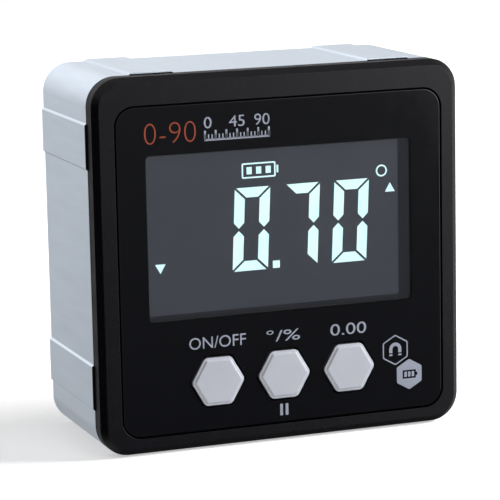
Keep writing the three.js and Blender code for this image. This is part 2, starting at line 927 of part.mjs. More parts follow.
// A rubber flap hinged on its upper edge, with a shallow plug for the socket's mouth
function makeFlap() {
  const front = coverBack - flapThickness;
  const leaf = slab(
    roundedRectangle(flapWidth, flapHeight, flapCorner, 0, socketPlace),
    front,
    coverBack,
    softSteps,
  );
  const plugHeight = socketHeight - 2 * (socketWall + seatGap);
  const plug = slab(
    roundedRectangle(
      socketWidth - 2 * (socketWall + seatGap),
      plugHeight,
      plugHeight / 2 - seatGap,
      0,
      socketPlace,
    ),
    front - flapPlugDepth,
    front + flapThickness / 2,
    softSteps,
  );
  return join(leaf, plug);
}

function mesh(name, geometry, finish, x = 0, y = 0, z = 0) {
  const piece = new THREE.Mesh(geometry, finishes[finish]);
  piece.name = name;
  piece.position.set(x, y, z);
  return piece;
}

function group(...pieces) {
  const set = new THREE.Group();
  set.add(...pieces);
  return set;
}

function metalBody() {
  const magnets = lands.map((land) => {
    const { size, place } = magnetBlock(land, 0);
    const geometry = new THREE.BoxGeometry(...size);
    return mesh(`magnet_${land.face}_${land.name}`, geometry, 'magnetNickel', ...place);
  });
  return group(mesh('body_frame', makeFrame(), 'aluminium'), ...magnets);
}

function frontPlate() {
  return group(
    mesh('front_bezel', makeBezel(), 'bezelPlastic'),
    mesh('front_panel', makePanel(), 'panelAcrylic'),
    mesh('panel_print', makePrint(), 'printInk'),
    mesh('front_gasket', makeFrontGasket(), 'blackRubber'),
  );
}

function displayModule() {
  return group(
    mesh('lcd_glass', makeLcdGlass(), 'displayGlass'),
    mesh('backlight_plate', makeBacklight(), 'lightGuide'),
    mesh('lcd_bracket', makeBracket(), 'whitePlastic'),
    mesh('lcd_connector', makeConnector(), 'foam'),
  );
}

function keypad() {
  const cap = makeButton();
  const plunger = makePlunger();
  const housing = makeSwitch();
  const keys = buttons.flatMap(({ name, x, z }) => [
    mesh(`${name}_button`, cap, 'buttonPlastic', x, 0, z),
    mesh(`${name}_plunger`, plunger, 'whitePlastic', x, 0, z),
    mesh(`${name}_switch`, housing, 'chipBlack', x, 0, z),
  ]);
  return group(mesh('button_seal', makeSeal(), 'blackRubber'), ...keys);
}

function electronics() {
  const processor = makeChip(processorWidth, processorHeight);
  const sensor = makeChip(sensorWidth, sensorHeight);
  const screw = makeScrew(boardScrewRadius, boardScrewLength, boardHeadRadius, boardHeadHeight);
  const screws = bossPlaces.map(({ x, z }, index) => (
    mesh(`board_screw_${index + 1}`, screw, 'steel', x, boardBack + filmGap, z)));
  return group(
    mesh('main_board', makeMainBoard(), 'boardGreen'),
    mesh('processor_chip', processor, 'chipBlack', -processorSide, 0, chipPlace),
    mesh('angle_sensor', sensor, 'chipBlack', sensorSide, 0, chipPlace),
    mesh('battery_pad', makePad(), 'foam'),
    mesh('battery_cell', makeBattery(), 'cellWrap'),
    mesh('battery_lead', makeBatteryLead(), 'leadSheath'),
    ...screws,
  );
}

function rearCover() {
  const screw = makeScrew(backScrewRadius, backScrewLength, backHeadRadius, backHeadHeight);
  const screws = pillarPlaces.map(({ x, z }, index) => (
    mesh(`back_screw_${index + 1}`, screw, 'steel', x, coverBack - backHeadHeight - filmGap, z)));
  return group(
    mesh('rear_gasket', makeRearGasket(), 'blackRubber'),
    mesh('back_cover', makeCover(), 'bezelPlastic'),
    mesh('charge_board', makeChargeBoard(), 'boardGreen'),
    mesh('charge_lead', makeChargeLead(), 'leadSheath'),
    mesh('charging_socket', makeSocket(), 'steel'),
    mesh('port_flap', makeFlap(), 'blackRubber'),
    ...screws,
  );
}

const gauge = group(metalBody(), frontPlate(), displayModule(), keypad(), electronics(), rearCover());
gauge.position.set(0, (buttonProud - caseDepth) / 2, landProud + caseHeight / 2);

export default gauge;
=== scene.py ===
"""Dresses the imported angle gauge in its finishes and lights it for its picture.

Sizes are millimetres until a mesh is made, and meshes are in metres. A point is given as the
gauge is built: x to the right, depth behind the face of the bezel, and z up from the middle of
the case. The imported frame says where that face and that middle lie.
"""

import logging
import math
from collections.abc import Callable, Iterable, Sequence
from dataclasses import dataclass
from enum import Enum
from functools import cache

import bmesh
import bpy
from mathutils import Matrix, Vector
from mathutils.geometry import tessellate_polygon


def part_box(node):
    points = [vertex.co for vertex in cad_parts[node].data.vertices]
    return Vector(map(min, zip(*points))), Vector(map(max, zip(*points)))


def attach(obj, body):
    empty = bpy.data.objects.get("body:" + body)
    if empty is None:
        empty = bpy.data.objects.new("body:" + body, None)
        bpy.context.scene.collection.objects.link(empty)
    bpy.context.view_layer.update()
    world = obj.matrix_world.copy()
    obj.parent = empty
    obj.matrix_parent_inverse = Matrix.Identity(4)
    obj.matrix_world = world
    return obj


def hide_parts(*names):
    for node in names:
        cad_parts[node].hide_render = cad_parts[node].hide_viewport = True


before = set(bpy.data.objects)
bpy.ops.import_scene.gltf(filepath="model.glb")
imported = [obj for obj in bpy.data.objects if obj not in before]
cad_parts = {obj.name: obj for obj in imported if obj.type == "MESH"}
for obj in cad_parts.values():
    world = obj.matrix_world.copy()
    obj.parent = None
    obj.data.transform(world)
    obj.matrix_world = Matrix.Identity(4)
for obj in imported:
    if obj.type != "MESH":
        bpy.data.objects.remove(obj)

MM = 0.001
QUARTER = math.pi / 2
KEYS = ("power", "mode", "zero")
BAR, UPRIGHT, MIRRORED = range(3)
SEGMENTS = {
    "0": [(BAR, 0), (UPRIGHT, 0), (MIRRORED, 0), (BAR, 1), (UPRIGHT, 1), (MIRRORED, 1)],
    "7": [(BAR, 0), (UPRIGHT, 0), (MIRRORED, 1)],
}
# The four screws of a set are numbered from one.
SCREW_NUMBERS = range(1, 5)
# In millimetres: how near doubles lie before a piece is rounded and before it is shaded, and how
# far a tool reaches past a cut or into a joint.
MERGED, MERGED_FINE = 0.002, 0.0005
OVER = 1.0
OVERLAP = 0.5
# Steps in a round edge of a slab, in an edge that is rounded afterwards and in a curve of a letter.
EDGE_STEPS, SOFT_STEPS, TYPE_STEPS = 4, 2, 4
# A face is flat to the front or back from this share of its normal on.
FLAT = 0.9999
# The range into which most of a noise's values fall.
NOISE_LOW, NOISE_HIGH = 0.3, 0.7
LOG = logging.getLogger("gauge")

Colour = tuple[float, float, float]
Point = tuple[float, float, float]
Place = tuple[float, float]
Outline = list[Place]
Rule = Callable[[float], Outline]
Section = Sequence[Place]
Turns = Sequence[float]
Object = bpy.types.Object
Socket = bpy.types.NodeSocket


class Body(Enum):
    """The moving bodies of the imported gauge."""

    CASE = "case"
    POWER_KEY = "power_key"
    MODE_KEY = "mode_key"
    ZERO_KEY = "zero_key"
    FLAP = "flap"


class Way(Enum):
    """What an exact boolean does with its tools."""

    JOIN = "UNION"
    CUT = "DIFFERENCE"


@dataclass(frozen=True)
class Span:
    """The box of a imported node, in the gauge's own millimetres."""

    left: float
    right: float
    front: float
    back: float
    bottom: float
    top: float

    @property
    def width(self) -> float:
        """Size across."""
        return self.right - self.left

    @property
    def height(self) -> float:
        """Size upwards."""
        return self.top - self.bottom

    @property
    def x(self) -> float:
        """Middle across."""
        return (self.left + self.right) / 2

    @property
    def z(self) -> float:
        """Middle upwards."""
        return (self.bottom + self.top) / 2


BEZEL_LOW, BEZEL_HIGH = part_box("front_bezel")
FACE = BEZEL_LOW.y / MM
MIDDLE = (BEZEL_LOW.z + BEZEL_HIGH.z) / 2 / MM


def span(node: str) -> Span:
    """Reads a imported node's box.

    Args:
        node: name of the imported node.

    Returns:
        Its span in the gauge's own millimetres.
    """
    low, high = (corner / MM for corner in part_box(node))
    return Span(low.x, high.x, low.y - FACE, high.y - FACE, low.z - MIDDLE, high.z - MIDDLE)


# Outlines


def rounded_rectangle(
    width: float, height: float, radius: float, x: float = 0, z: float = 0, steps: int = 12
) -> Outline:
    """Draws a rectangle with round corners, anticlockwise as seen from the front.

    Args:
        width: size across.
        height: size upwards.
        radius: radius of the corners.
        x: middle across.
        z: middle upwards.
        steps: steps in each corner.

    Returns:
        The points of the outline.
    """
    points = []
    for quarter, (side, rise) in enumerate(((1, 1), (-1, 1), (-1, -1), (1, -1))):
        for step in range(steps + 1):
            angle = (quarter + step / steps) * QUARTER
            points.append((
                x + side * (width / 2 - radius) + radius * math.cos(angle),
                z + rise * (height / 2 - radius) + radius * math.sin(angle),
            ))
    return points


def rounded_hexagon(
    flats: float, softening: float, x: float = 0, z: float = 0, steps: int = 8, turn: float = 0
) -> Outline:
    """Draws a hexagon with soft corners, one of them to the right.

    Args:
        flats: size across the flats.
        softening: how far from a corner its curve starts.
        x: middle across.
        z: middle upwards.
        steps: steps in each corner.
        turn: angle by which the hexagon is turned, in radians.

    Returns:
        The points of the outline, anticlockwise.
    """
    angles = [turn + i * math.pi / 3 for i in range(6)]
    tips = [Vector((math.cos(angle), math.sin(angle))) * flats / math.sqrt(3) for angle in angles]
    share = softening / tips[0].length
    points = []
    for i, tip in enumerate(tips):
        before = tip.lerp(tips[i - 1], share)
        after = tip.lerp(tips[(i + 1) % 6], share)
        for step in range(steps + 1):
            t = step / steps
            place = before.lerp(tip, t).lerp(tip.lerp(after, t), t)
            points.append((x + place.x, z + place.y))
    return points


def around(box: Span, gap: float, corner: float, steps: int = 12) -> Outline:
    """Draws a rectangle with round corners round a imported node's box.

    Args:
        box: the node's box.
        gap: how far outside the box the outline lies, or less than zero for inside.
        corner: radius of the corners.
        steps: steps in each corner.

    Returns:
        The points of the outline.
    """
    return rounded_rectangle(box.width + 2 * gap, box.height + 2 * gap, corner, box.x, box.z, steps)


def circle(radius: float, x: float = 0, z: float = 0, steps: int = 48) -> Outline:
    """Draws a circle anticlockwise, from its radius, its middle and how many points it has."""
    turn = 4 * QUARTER / steps
    return [(x + radius * math.cos(i * turn), z + radius * math.sin(i * turn)) for i in range(steps)]


def eased(front: float, back: float, front_edge: float, back_edge: float) -> Section:
    """Draws the side of a slab whose two edges are rounded.

    Args:
        front: depth of the front face.
        back: depth of the back face.
        front_edge: radius of the front edge, or zero.
        back_edge: radius of the back edge, or zero.

    Returns:
        Pairs of inset and depth, from the front face to the back face.
    """
    angles = [QUARTER * step / EDGE_STEPS for step in range(EDGE_STEPS + 1)]
    front_side, back_side = [(0, front)], [(0, back)]
    if front_edge:
        front_side = [
            (front_edge * (1 - math.sin(angle)), front + front_edge * (1 - math.cos(angle)))
            for angle in angles
        ]
    if back_edge:
        back_side = [
            (back_edge * (1 - math.cos(angle)), back - back_edge * (1 - math.sin(angle)))
            for angle in angles
        ]
    return front_side + back_side


def four_places(across: float, up: float) -> list[Place]:
    """Lists the corners of a rectangle about the middle, from its half sizes."""
    return [(-across, up), (across, up), (across, -up), (-across, -up)]


# Meshes


def linked(name: str, data: bpy.types.ID) -> Object:
    """Makes an object and links it to the scene.

    Args:
        name: name of the object.
        data: its mesh, text, lamp or camera.

    Returns:
        The new object.
    """
    made = bpy.data.objects.new(name, data)
    bpy.context.scene.collection.objects.link(made)
    return made


class Shell:
    """The points and faces of one closed piece while it is being made."""

    def __init__(self) -> None:
        """Starts an empty shell."""
        self.points: list[Point] = []
        self.faces: list[Sequence[int]] = []
        self.slots: list[int] = []

    def loop(self, outline: Outline, depth: float) -> list[int]:
        """Adds an outline at a depth.

        Args:
            outline: its points.
            depth: how far behind the bezel's face it lies.

        Returns:
            The numbers of the new points.
        """
        first = len(self.points)
        self.points.extend((x, depth, z) for x, z in outline)
        return list(range(first, len(self.points)))

    def face(self, corners: Sequence[int], slot: int = 0) -> None:
        """Adds one face with a material slot."""
        self.faces.append(corners)
        self.slots.append(slot)

    def bands(self, loops: Sequence[Sequence[int]]) -> None:
        """Joins loops, each to the next, by rings of quads.

        Args:
            loops: point numbers of each loop, all of as many points.
        """
        for front, back in zip(loops, loops[1:]):
            for i, corner in enumerate(front):
                j = (i + 1) % len(front)
                self.face((corner, back[i], back[j], front[j]))

    def skin(self, loops: Sequence[Sequence[int]]) -> None:
        """Joins loops from front to back and caps both ends.

        Args:
            loops: point numbers of each loop, all of as many points.
        """
        self.bands(loops)
        self.face(loops[0])
        self.face(loops[-1][::-1])

    def fill(self, outer: Sequence[int], holes: Iterable[Sequence[int]], flip: bool, slot: int = 0) -> None:
        """Fills a flat area that may have holes.

        Args:
            outer: numbers of the points of its edge.
            holes: the same for each hole.
            flip: whether the area looks to the back.
            slot: material slot of the new faces.
        """
        loops = [outer, *holes]
        numbers = [number for loop in loops for number in loop]
        flat = [[Vector((self.points[n][0], self.points[n][2], 0)) for n in loop] for loop in loops]
        for corners in tessellate_polygon(flat):
            a, b, c = (numbers[corner] for corner in corners)
            turned = self.turns_left(a, b, c)
            self.face((a, c, b) if turned == flip else (a, b, c), slot)

    def turns_left(self, a: int, b: int, c: int) -> bool:
        """Tells whether three points turn anticlockwise as seen from the front."""
        pa, pb, pc = (Vector((self.points[n][0], self.points[n][2])) for n in (a, b, c))
        return (pb - pa).cross(pc - pa) > 0

    def build(self, name: str) -> Object:
        """Makes the piece.

        Args:
            name: name of the new object.

        Returns:
            An object at the origin with its place in its mesh, in metres.
        """
        mesh = bpy.data.meshes.new(name)
        places = [(x * MM, (depth + FACE) * MM, (z + MIDDLE) * MM) for x, depth, z in self.points]
        mesh.from_pydata(places, [], self.faces)
        mesh.polygons.foreach_set("material_index", self.slots)
        mesh.update()
        return linked(name, mesh)


def loft(name: str, rule: Rule, section: Section) -> Object:
    """Makes a piece from one outline rule and a section.

    Args:
        name: name of the new object.
        rule: gives the outline for an inset.
        section: pairs of inset and depth, front to back.

    Returns:
        The new object.
    """
    shell = Shell()
    shell.skin([shell.loop(rule(inset), depth) for inset, depth in section])
    return shell.build(name)


def plate(
    name: str,
    rule: Rule,
    holes: Sequence[Rule],
    section: Section,
    pane: Outline | None = None,
    hole_share: float = 1,
) -> Object:
    """Makes a flat plate with holes, whose edges all follow one section.

    Args:
        name: name of the new object.
        rule: outline of the plate for an inset.
        holes: outlines of the holes for an inset.
        section: pairs of inset and depth, front to back.
        pane: part of the plate that gets the second material slot, or nothing.
        hole_share: how much of each inset the edges of the holes get.

    Returns:
        The new object.
    """
    shell = Shell()
    outer = [shell.loop(rule(inset), depth) for inset, depth in section]
    inner = [
        [shell.loop(hole(-inset * hole_share), depth) for inset, depth in section]
        for hole in holes
    ]
    shell.bands(outer)
    for loops in inner:
        for front, back in zip(loops, loops[1:]):
            shell.bands([back, front])
    for end, flip in ((0, False), (-1, True)):
        gaps = [loops[end] for loops in inner]
        if pane:
            part = shell.loop(pane, section[end][1])
            shell.fill(part, [], flip, 1)
            gaps.append(part)
        shell.fill(outer[end], gaps, flip)
    return shell.build(name)


def prism(outline: Outline, front: float, back: float, name: str = "prism") -> Object:
    """Makes a plain tool or solid with one outline from front to back."""
    return loft(name, lambda inset: outline, [(0, front), (0, back)])


def pierced(outline: Outline, hole: Outline, front: float, back: float) -> Object:
    """Makes a plain tool or solid with one outline and one hole from front to back."""
    return plate("pierced", lambda inset: outline, [lambda inset: hole], [(0, front), (0, back)])


def join_meshes(pieces: Sequence[Object], name: str) -> Object:
    """Puts several meshes in one object, side by side.

    Args:
        pieces: objects at the origin, which are used up.
        name: name of the new object.

    Returns:
        The new object.
    """
    gathered = bmesh.new()
    for piece in pieces:
        gathered.from_mesh(piece.data)
        bpy.data.objects.remove(piece)
    mesh = bpy.data.meshes.new(name)
    gathered.to_mesh(mesh)
    gathered.free()
    return linked(name, mesh)


def plain_mesh(piece: Object) -> bpy.types.Mesh:
    """Returns a new mesh of what a piece's text or modifiers make."""
    graph = bpy.context.evaluated_depsgraph_get()
    return bpy.data.meshes.new_from_object(piece.evaluated_get(graph), depsgraph=graph)


def settle(piece: Object) -> Object:
    """Turns a piece with modifiers into a plain mesh.

    Args:
        piece: the object.

    Returns:
        The same object.
    """
    mesh = plain_mesh(piece)
    piece.modifiers.clear()
    piece.data = mesh
    mesh.name = piece.name
    return piece


def work(piece: Object, way: Way, *tools: Object) -> Object:
    """Joins or cuts a piece with tools that don't touch each other.

    Args:
        piece: the object that is changed.
        way: whether the tools are added or taken away.
        tools: objects that are used up.

    Returns:
        The changed piece.
    """
    tool = join_meshes(tools, "tool")
    change = piece.modifiers.new("work", "BOOLEAN")
    change.operation = way.value
    change.solver = "EXACT"
    change.object = tool
    settle(piece)
    bpy.data.objects.remove(tool)
    return piece


def merge(piece: Object, distance: float = MERGED) -> Object:
    """Merges doubles, removes faces without area and points the rest out.

    Args:
        piece: the object.
        distance: how near two points are when they become one, in millimetres.

    Returns:
        The same piece.
    """
    shape = bmesh.new()
    shape.from_mesh(piece.data)
    bmesh.ops.remove_doubles(shape, verts=shape.verts, dist=distance * MM)
    bmesh.ops.dissolve_degenerate(shape, edges=shape.edges, dist=distance * MM)
    bmesh.ops.recalc_face_normals(shape, faces=shape.faces)
    shape.to_mesh(piece.data)
    shape.free()
    return piece


def soften(piece: Object, width: float, angle: float = 32) -> Object:
    """Rounds the sharp edges of a piece a little, as a mould or a tumbler does.

    Args:
        piece: the object.
        width: width of the rounding in millimetres.
        angle: least angle of an edge that is rounded, in degrees.

    Returns:
        The same piece.
    """
    merge(piece)
    edge = piece.modifiers.new("soften", "BEVEL")
    edge.width = width * MM
    edge.segments = SOFT_STEPS
    edge.limit_method = "ANGLE"
    edge.angle_limit = math.radians(angle)
    edge.use_clamp_overlap = True
    return settle(piece)


def shade(piece: Object, angle: float = 35) -> Object:
    """Merges doubles and shades curves smooth, and flats that look to the front or back flat.

    Args:
        piece: the object.
        angle: least angle of an edge that stays sharp, in degrees.

    Returns:
        The same piece.
    """
    merge(piece, MERGED_FINE)
    shape = bmesh.new()
    shape.from_mesh(piece.data)
    for face in shape.faces:
        face.smooth = abs(face.normal.y) < FLAT
    for edge in shape.edges:
        edge.smooth = edge.calc_face_angle(math.pi) < math.radians(angle)
    shape.to_mesh(piece.data)
    shape.free()
    even = piece.modifiers.new("even", "WEIGHTED_NORMAL")
    even.keep_sharp = True
    return settle(piece)


def lettering(
    text: str,
    width: float,
    height: float,
    place: Place,
    front: float,
    back: float,
    thinning: float = 0,
) -> Object:
    """Makes raised lettering of a given size, facing the front.

    Args:
        text: what it says.
        width: size across.
        height: size upwards.
        place: its middle, across and upwards.
        front: depth of its face.
        back: depth of its back.
        thinning: how much each stroke is drawn in on both sides, as a share of the type size.

    Returns:
        The new object.
    """
    curve = bpy.data.curves.new("lettering", "FONT")
    curve.body = text
    curve.resolution_u = TYPE_STEPS
    curve.extrude = MM
    curve.offset = -thinning
    typed = linked("typed", curve)
    mesh = plain_mesh(typed)
    bpy.data.objects.remove(typed)
    lows = [min(v.co[axis] for v in mesh.vertices) for axis in range(3)]
    highs = [max(v.co[axis] for v in mesh.vertices) for axis in range(3)]
    x, z = place
    for vertex in mesh.vertices:
        across, up, out = ((vertex.co[a] - lows[a]) / (highs[a] - lows[a]) for a in range(3))
        vertex.co = (
            (x + (across - 0.5) * width) * MM,
            (FACE + back + out * (front - back)) * MM,
            (MIDDLE + z + (up - 0.5) * height) * MM,
        )
    return linked("lettering", mesh)


# Geometry Nodes


class Graph:
    """A node tree that is filled with nodes."""

    def __init__(self, tree: bpy.types.NodeTree) -> None:
        """Takes the tree's nodes and links."""
        self.nodes = tree.nodes
        self.links = tree.links

    def feed(self, socket: Socket, value: object) -> None:
        """Links an output to an input socket, or gives that input a plain value.

        Args:
            socket: the input.
            value: the output socket or the value.
        """
        if isinstance(value, Socket):
            self.links.new(value, socket)
        else:
            socket.default_value = value

    def supply(self, node: bpy.types.Node, **feeds: object) -> None:
        """Feeds the inputs of a node.

        Args:
            node: the node.
            feeds: an output socket or a plain value for each input, its name written with
                underscores, or a list of them.
        """
        for label, feed in feeds.items():
            name = label.replace("_", " ")
            socket = next(s for s in node.inputs if s.enabled and s.name == name)
            for item in feed if isinstance(feed, list) else [feed]:
                self.feed(socket, item)

    def add(self, kind: str, settings: dict[str, object] | None = None, **feeds: object) -> bpy.types.Node:
        """Adds a node.

        Args:
            kind: the node's type name after GeometryNode, or a full type name.
            settings: values of its properties.
            feeds: what its inputs get, as for supply.

        Returns:
            The new node.
        """
        full = kind if kind.startswith(("ShaderNode", "FunctionNode")) else "GeometryNode" + kind
        node = self.nodes.new(full)
        for key, value in (settings or {}).items():
            setattr(node, key, value)
        self.supply(node, **feeds)
        return node

    def math(self, operation: str, *values: object) -> Socket:
        """Adds a math node.

        Args:
            operation: what it does.
            values: an output socket or a number for each of its inputs.

        Returns:
            The socket with its result.
        """
        node = self.add("ShaderNodeMath", {"operation": operation})
        for socket, value in zip(node.inputs, values):
            self.feed(socket, value)
        return node.outputs[0]


class Tree(Graph):
    """A Geometry Nodes tree that is built with named inputs."""

    def __init__(self, name: str, inputs: dict[str, str]) -> None:
        """Starts a tree.

        Args:
            name: name of the tree.
            inputs: socket kind of each named input, such as Float or Object.
        """
        self.group = bpy.data.node_groups.new(name, "GeometryNodeTree")
        super().__init__(self.group)
        face = self.group.interface
        face.new_socket("Geometry", in_out="INPUT", socket_type="NodeSocketGeometry")
        for label, kind in inputs.items():
            face.new_socket(label, in_out="INPUT", socket_type="NodeSocket" + kind)
        face.new_socket("Geometry", in_out="OUTPUT", socket_type="NodeSocketGeometry")
        self.start = self.nodes.new("NodeGroupInput")
        self.end = self.nodes.new("NodeGroupOutput")

    def taken(self, label: str) -> Socket:
        """Returns the socket of a named input, inside the tree."""
        return self.start.outputs[label]

    def stored(self, label: str, kind: str) -> Socket:
        """Reads a named attribute of the points."""
        return self.add("InputNamedAttribute", {"data_type": kind}, Name=label).outputs["Attribute"]

    def close(self, geometry: Socket) -> None:
        """Ends the tree in Realize Instances and Set Material.

        Args:
            geometry: the socket with what the tree has made.
        """
        real = self.add("RealizeInstances", Geometry=geometry)
        coated = self.add("SetMaterial", Geometry=real.outputs[0], Material=self.taken("Finish"))
        self.links.new(coated.outputs[0], self.end.inputs[0])

    def run(self, piece: Object, /, **values: object) -> Object:
        """Runs the tree on a piece and leaves a plain mesh.

        Args:
            piece: the object whose geometry goes in.
            values: a value for each named input, in small letters.

        Returns:
            The same object.
        """
        change = piece.modifiers.new(self.group.name, "NODES")
        change.node_group = self.group
        for item in self.group.interface.items_tree:
            if item.in_out == "INPUT" and item.name.lower() in values:
                change[item.identifier] = values[item.name.lower()]
        return settle(piece)


@cache
def repeat_tree() -> Tree:
    """Makes the tree that sets one piece on every point, turned by the point's own angle.

    Returns:
        The tree, with the inputs Piece and Finish.
    """
    tree = Tree("repeat_on_points", {"Piece": "Object", "Finish": "Material"})
    piece = tree.add("ObjectInfo", Object=tree.taken("Piece"))
    angles = tree.add("ShaderNodeCombineXYZ", Y=tree.stored("turn", "FLOAT"))
    copies = tree.add(
        "InstanceOnPoints",
        Points=tree.taken("Geometry"),
        Instance=piece.outputs["Geometry"],
        Rotation=angles.outputs[0],
    )
    tree.close(copies.outputs[0])
    return tree


@cache
def row_tree() -> Tree:
    """Makes the tree that repeats a piece in a straight row.

    Returns:
        The tree, with the inputs Count, Step and Finish; the piece is the geometry that goes in.
    """
    tree = Tree("row", {"Count": "Int", "Step": "Vector", "Finish": "Material"})
    line = tree.add("MeshLine", {"mode": "OFFSET"}, Count=tree.taken("Count"), Offset=tree.taken("Step"))
    copies = tree.add("InstanceOnPoints", Points=line.outputs[0], Instance=tree.taken("Geometry"))
    tree.close(copies.outputs[0])
    return tree


def ring_tree() -> Tree:
    """Makes the tree that runs a wall section round the case and adds the measuring lands.

    Returns:
        The tree, with the inputs Width, Height, Corner, Steps, Lands and Finish; the section is
        the geometry that goes in, drawn with its inset along X and its depth along Y.
    """
    tree = Tree("ring_with_lands", {
        "Width": "Float",
        "Height": "Float",
        "Corner": "Float",
        "Steps": "Int",
        "Lands": "Object",
        "Finish": "Material",
    })
    square = tree.add(
        "CurvePrimitiveQuadrilateral", Width=tree.taken("Width"), Height=tree.taken("Height"))
    path = tree.add(
        "FilletCurve",
        {"mode": "POLY"},
        Curve=square.outputs[0],
        Radius=tree.taken("Corner"),
        Count=tree.taken("Steps"),
    )
    upright = tree.add("SetCurveNormal", {"mode": "Z_UP"}, Curve=path.outputs[0])
    section = tree.add("MeshToCurve", Mesh=tree.taken("Geometry"))
    swept = tree.add("CurveToMesh", Curve=upright.outputs[0], Profile_Curve=section.outputs[0])
    stood = tree.add("Transform", Geometry=swept.outputs[0], Rotation=(QUARTER, 0, 0))
    lands = tree.add("ObjectInfo", Object=tree.taken("Lands"))
    whole = tree.add(
        "MeshBoolean",
        {"operation": "UNION", "solver": "EXACT"},
        Mesh=[stood.outputs[0], lands.outputs["Geometry"]],
    )
    tree.close(whole.outputs[0])
    return tree


def digit_tree() -> Tree:
    """Makes the tree that lights the segments of the digits and leans them.

    Returns:
        The tree, with the inputs Bar, Upright, Mirrored, Lean, Level and Finish. It reads the
        angle and the kind of segment, counted from zero in that order, on each point.
    """
    shapes = ("Bar", "Upright", "Mirrored")
    tree = Tree("digits", {
        **dict.fromkeys(shapes, "Object"),
        "Lean": "Float",
        "Level": "Float",
        "Finish": "Material",
    })
    angles = tree.add("ShaderNodeCombineXYZ", Y=tree.stored("turn", "FLOAT"))
    kind = tree.stored("kind", "INT")
    sets = []
    for number, label in enumerate(shapes):
        piece = tree.add("ObjectInfo", Object=tree.taken(label))
        chosen = tree.add(
            "FunctionNodeCompare", {"data_type": "INT", "operation": "EQUAL"}, A=kind, B=number)
        copies = tree.add(
            "InstanceOnPoints",
            Points=tree.taken("Geometry"),
            Selection=chosen.outputs[0],
            Instance=piece.outputs["Geometry"],
            Rotation=angles.outputs[0],
        )
        sets.append(copies.outputs[0])
    joined = tree.add("JoinGeometry", Geometry=sets)
    real = tree.add("RealizeInstances", Geometry=joined.outputs[0])
    place = tree.add("InputPosition")
    parts = tree.add("ShaderNodeSeparateXYZ", Vector=place.outputs[0])
    rise = tree.math("SUBTRACT", parts.outputs["Z"], tree.taken("Level"))
    shift = tree.add("ShaderNodeCombineXYZ", X=tree.math("MULTIPLY", rise, tree.taken("Lean")))
    leaning = tree.add("SetPosition", Geometry=real.outputs[0], Offset=shift.outputs[0])
    tree.close(leaning.outputs[0])
    return tree


def points_object(places: Sequence[Point], turns: Turns, kinds: Sequence[int] = ()) -> Object:
    """Makes loose points with an angle, and maybe a kind, on each.

    Args:
        places: x, depth and z of each point in millimetres.
        turns: angle of each point in radians.
        kinds: number of the kind of each point.

    Returns:
        The new object.
    """
    shell = Shell()
    shell.points = list(places)
    piece = shell.build("points")
    angles = piece.data.attributes.new("turn", "FLOAT", "POINT")
    angles.data.foreach_set("value", list(turns))
    if kinds:
        numbers = piece.data.attributes.new("kind", "INT", "POINT")
        numbers.data.foreach_set("value", list(kinds))
    return piece


def centred(piece: Object, place: Point = (0, 0, 0)) -> Object:
    """Moves a piece's mesh so that a point of the gauge comes to the origin, for copying.

    Args:
        piece: the object.
        place: x, depth and z of that point in millimetres.

    Returns:
        The same piece.
    """
    x, depth, z = place
    piece.data.transform(Matrix.Translation((-x * MM, -(depth + FACE) * MM, -(z + MIDDLE) * MM)))
    return piece


# Finishes


class Surface(Graph):
    """The nodes of one material round its Principled shader."""

    def __init__(self, name: str) -> None:
        """Starts a material.

        Args:
            name: name of the material.
        """
        self.material = bpy.data.materials.new(name)
        self.material.use_nodes = True
        super().__init__(self.material.node_tree)
        self.shader = self.nodes["Principled BSDF"]
        self.place = self.add("ShaderNodeTexCoord").outputs["Object"]

    def paint(self, **feeds: object) -> None:
        """Feeds the shader's inputs, as supply does."""
        self.supply(self.shader, **feeds)

    def noise(self, size: float, stretch: Point, detail: float = 3) -> Socket:
        """Adds a noise pattern on the object's own coordinates.

        Args:
            size: rough size of a spot in millimetres.
            stretch: how often the pattern repeats along each axis, as shares.
            detail: how many finer layers it has.

        Returns:
            The socket with its value.
        """
        spread = self.add("ShaderNodeMapping", Vector=self.place, Scale=stretch)
        noise = self.add(
            "ShaderNodeTexNoise", Vector=spread.outputs[0], Scale=1 / (size * MM), Detail=detail)
        return noise.outputs["Fac"]

    def spread(self, value: Socket, low: float, high: float) -> Socket:
        """Maps the usual middle range of a noise onto a range of its own."""
        ends = {"From_Min": NOISE_LOW, "From_Max": NOISE_HIGH, "To_Min": low, "To_Max": high}
        return self.add("ShaderNodeMapRange", Value=value, **ends).outputs[0]

    def blend(self, value: Socket, low: Colour, high: Colour) -> Socket:
        """Mixes two colours.

        Args:
            value: the share of the second colour, between zero and one.
            low: the first colour.
            high: the second colour.

        Returns:
            The socket with the mixed colour.
        """
        mix = self.add(
            "ShaderNodeMix", {"data_type": "RGBA"}, Factor=value, A=(*low, 1), B=(*high, 1))
        return next(socket for socket in mix.outputs if socket.type == "RGBA")

    def relief(self, value: Socket, height: float) -> None:
        """Raises the surface by a pattern, over any earlier one.

        Args:
            value: the pattern.
            height: its height in millimetres.
        """
        bump = self.add("ShaderNodeBump", Strength=1, Distance=height * MM, Height=value)
        earlier = self.shader.inputs["Normal"].links
        if earlier:
            self.feed(bump.inputs["Normal"], earlier[0].from_socket)
        self.paint(Normal=bump.outputs[0])


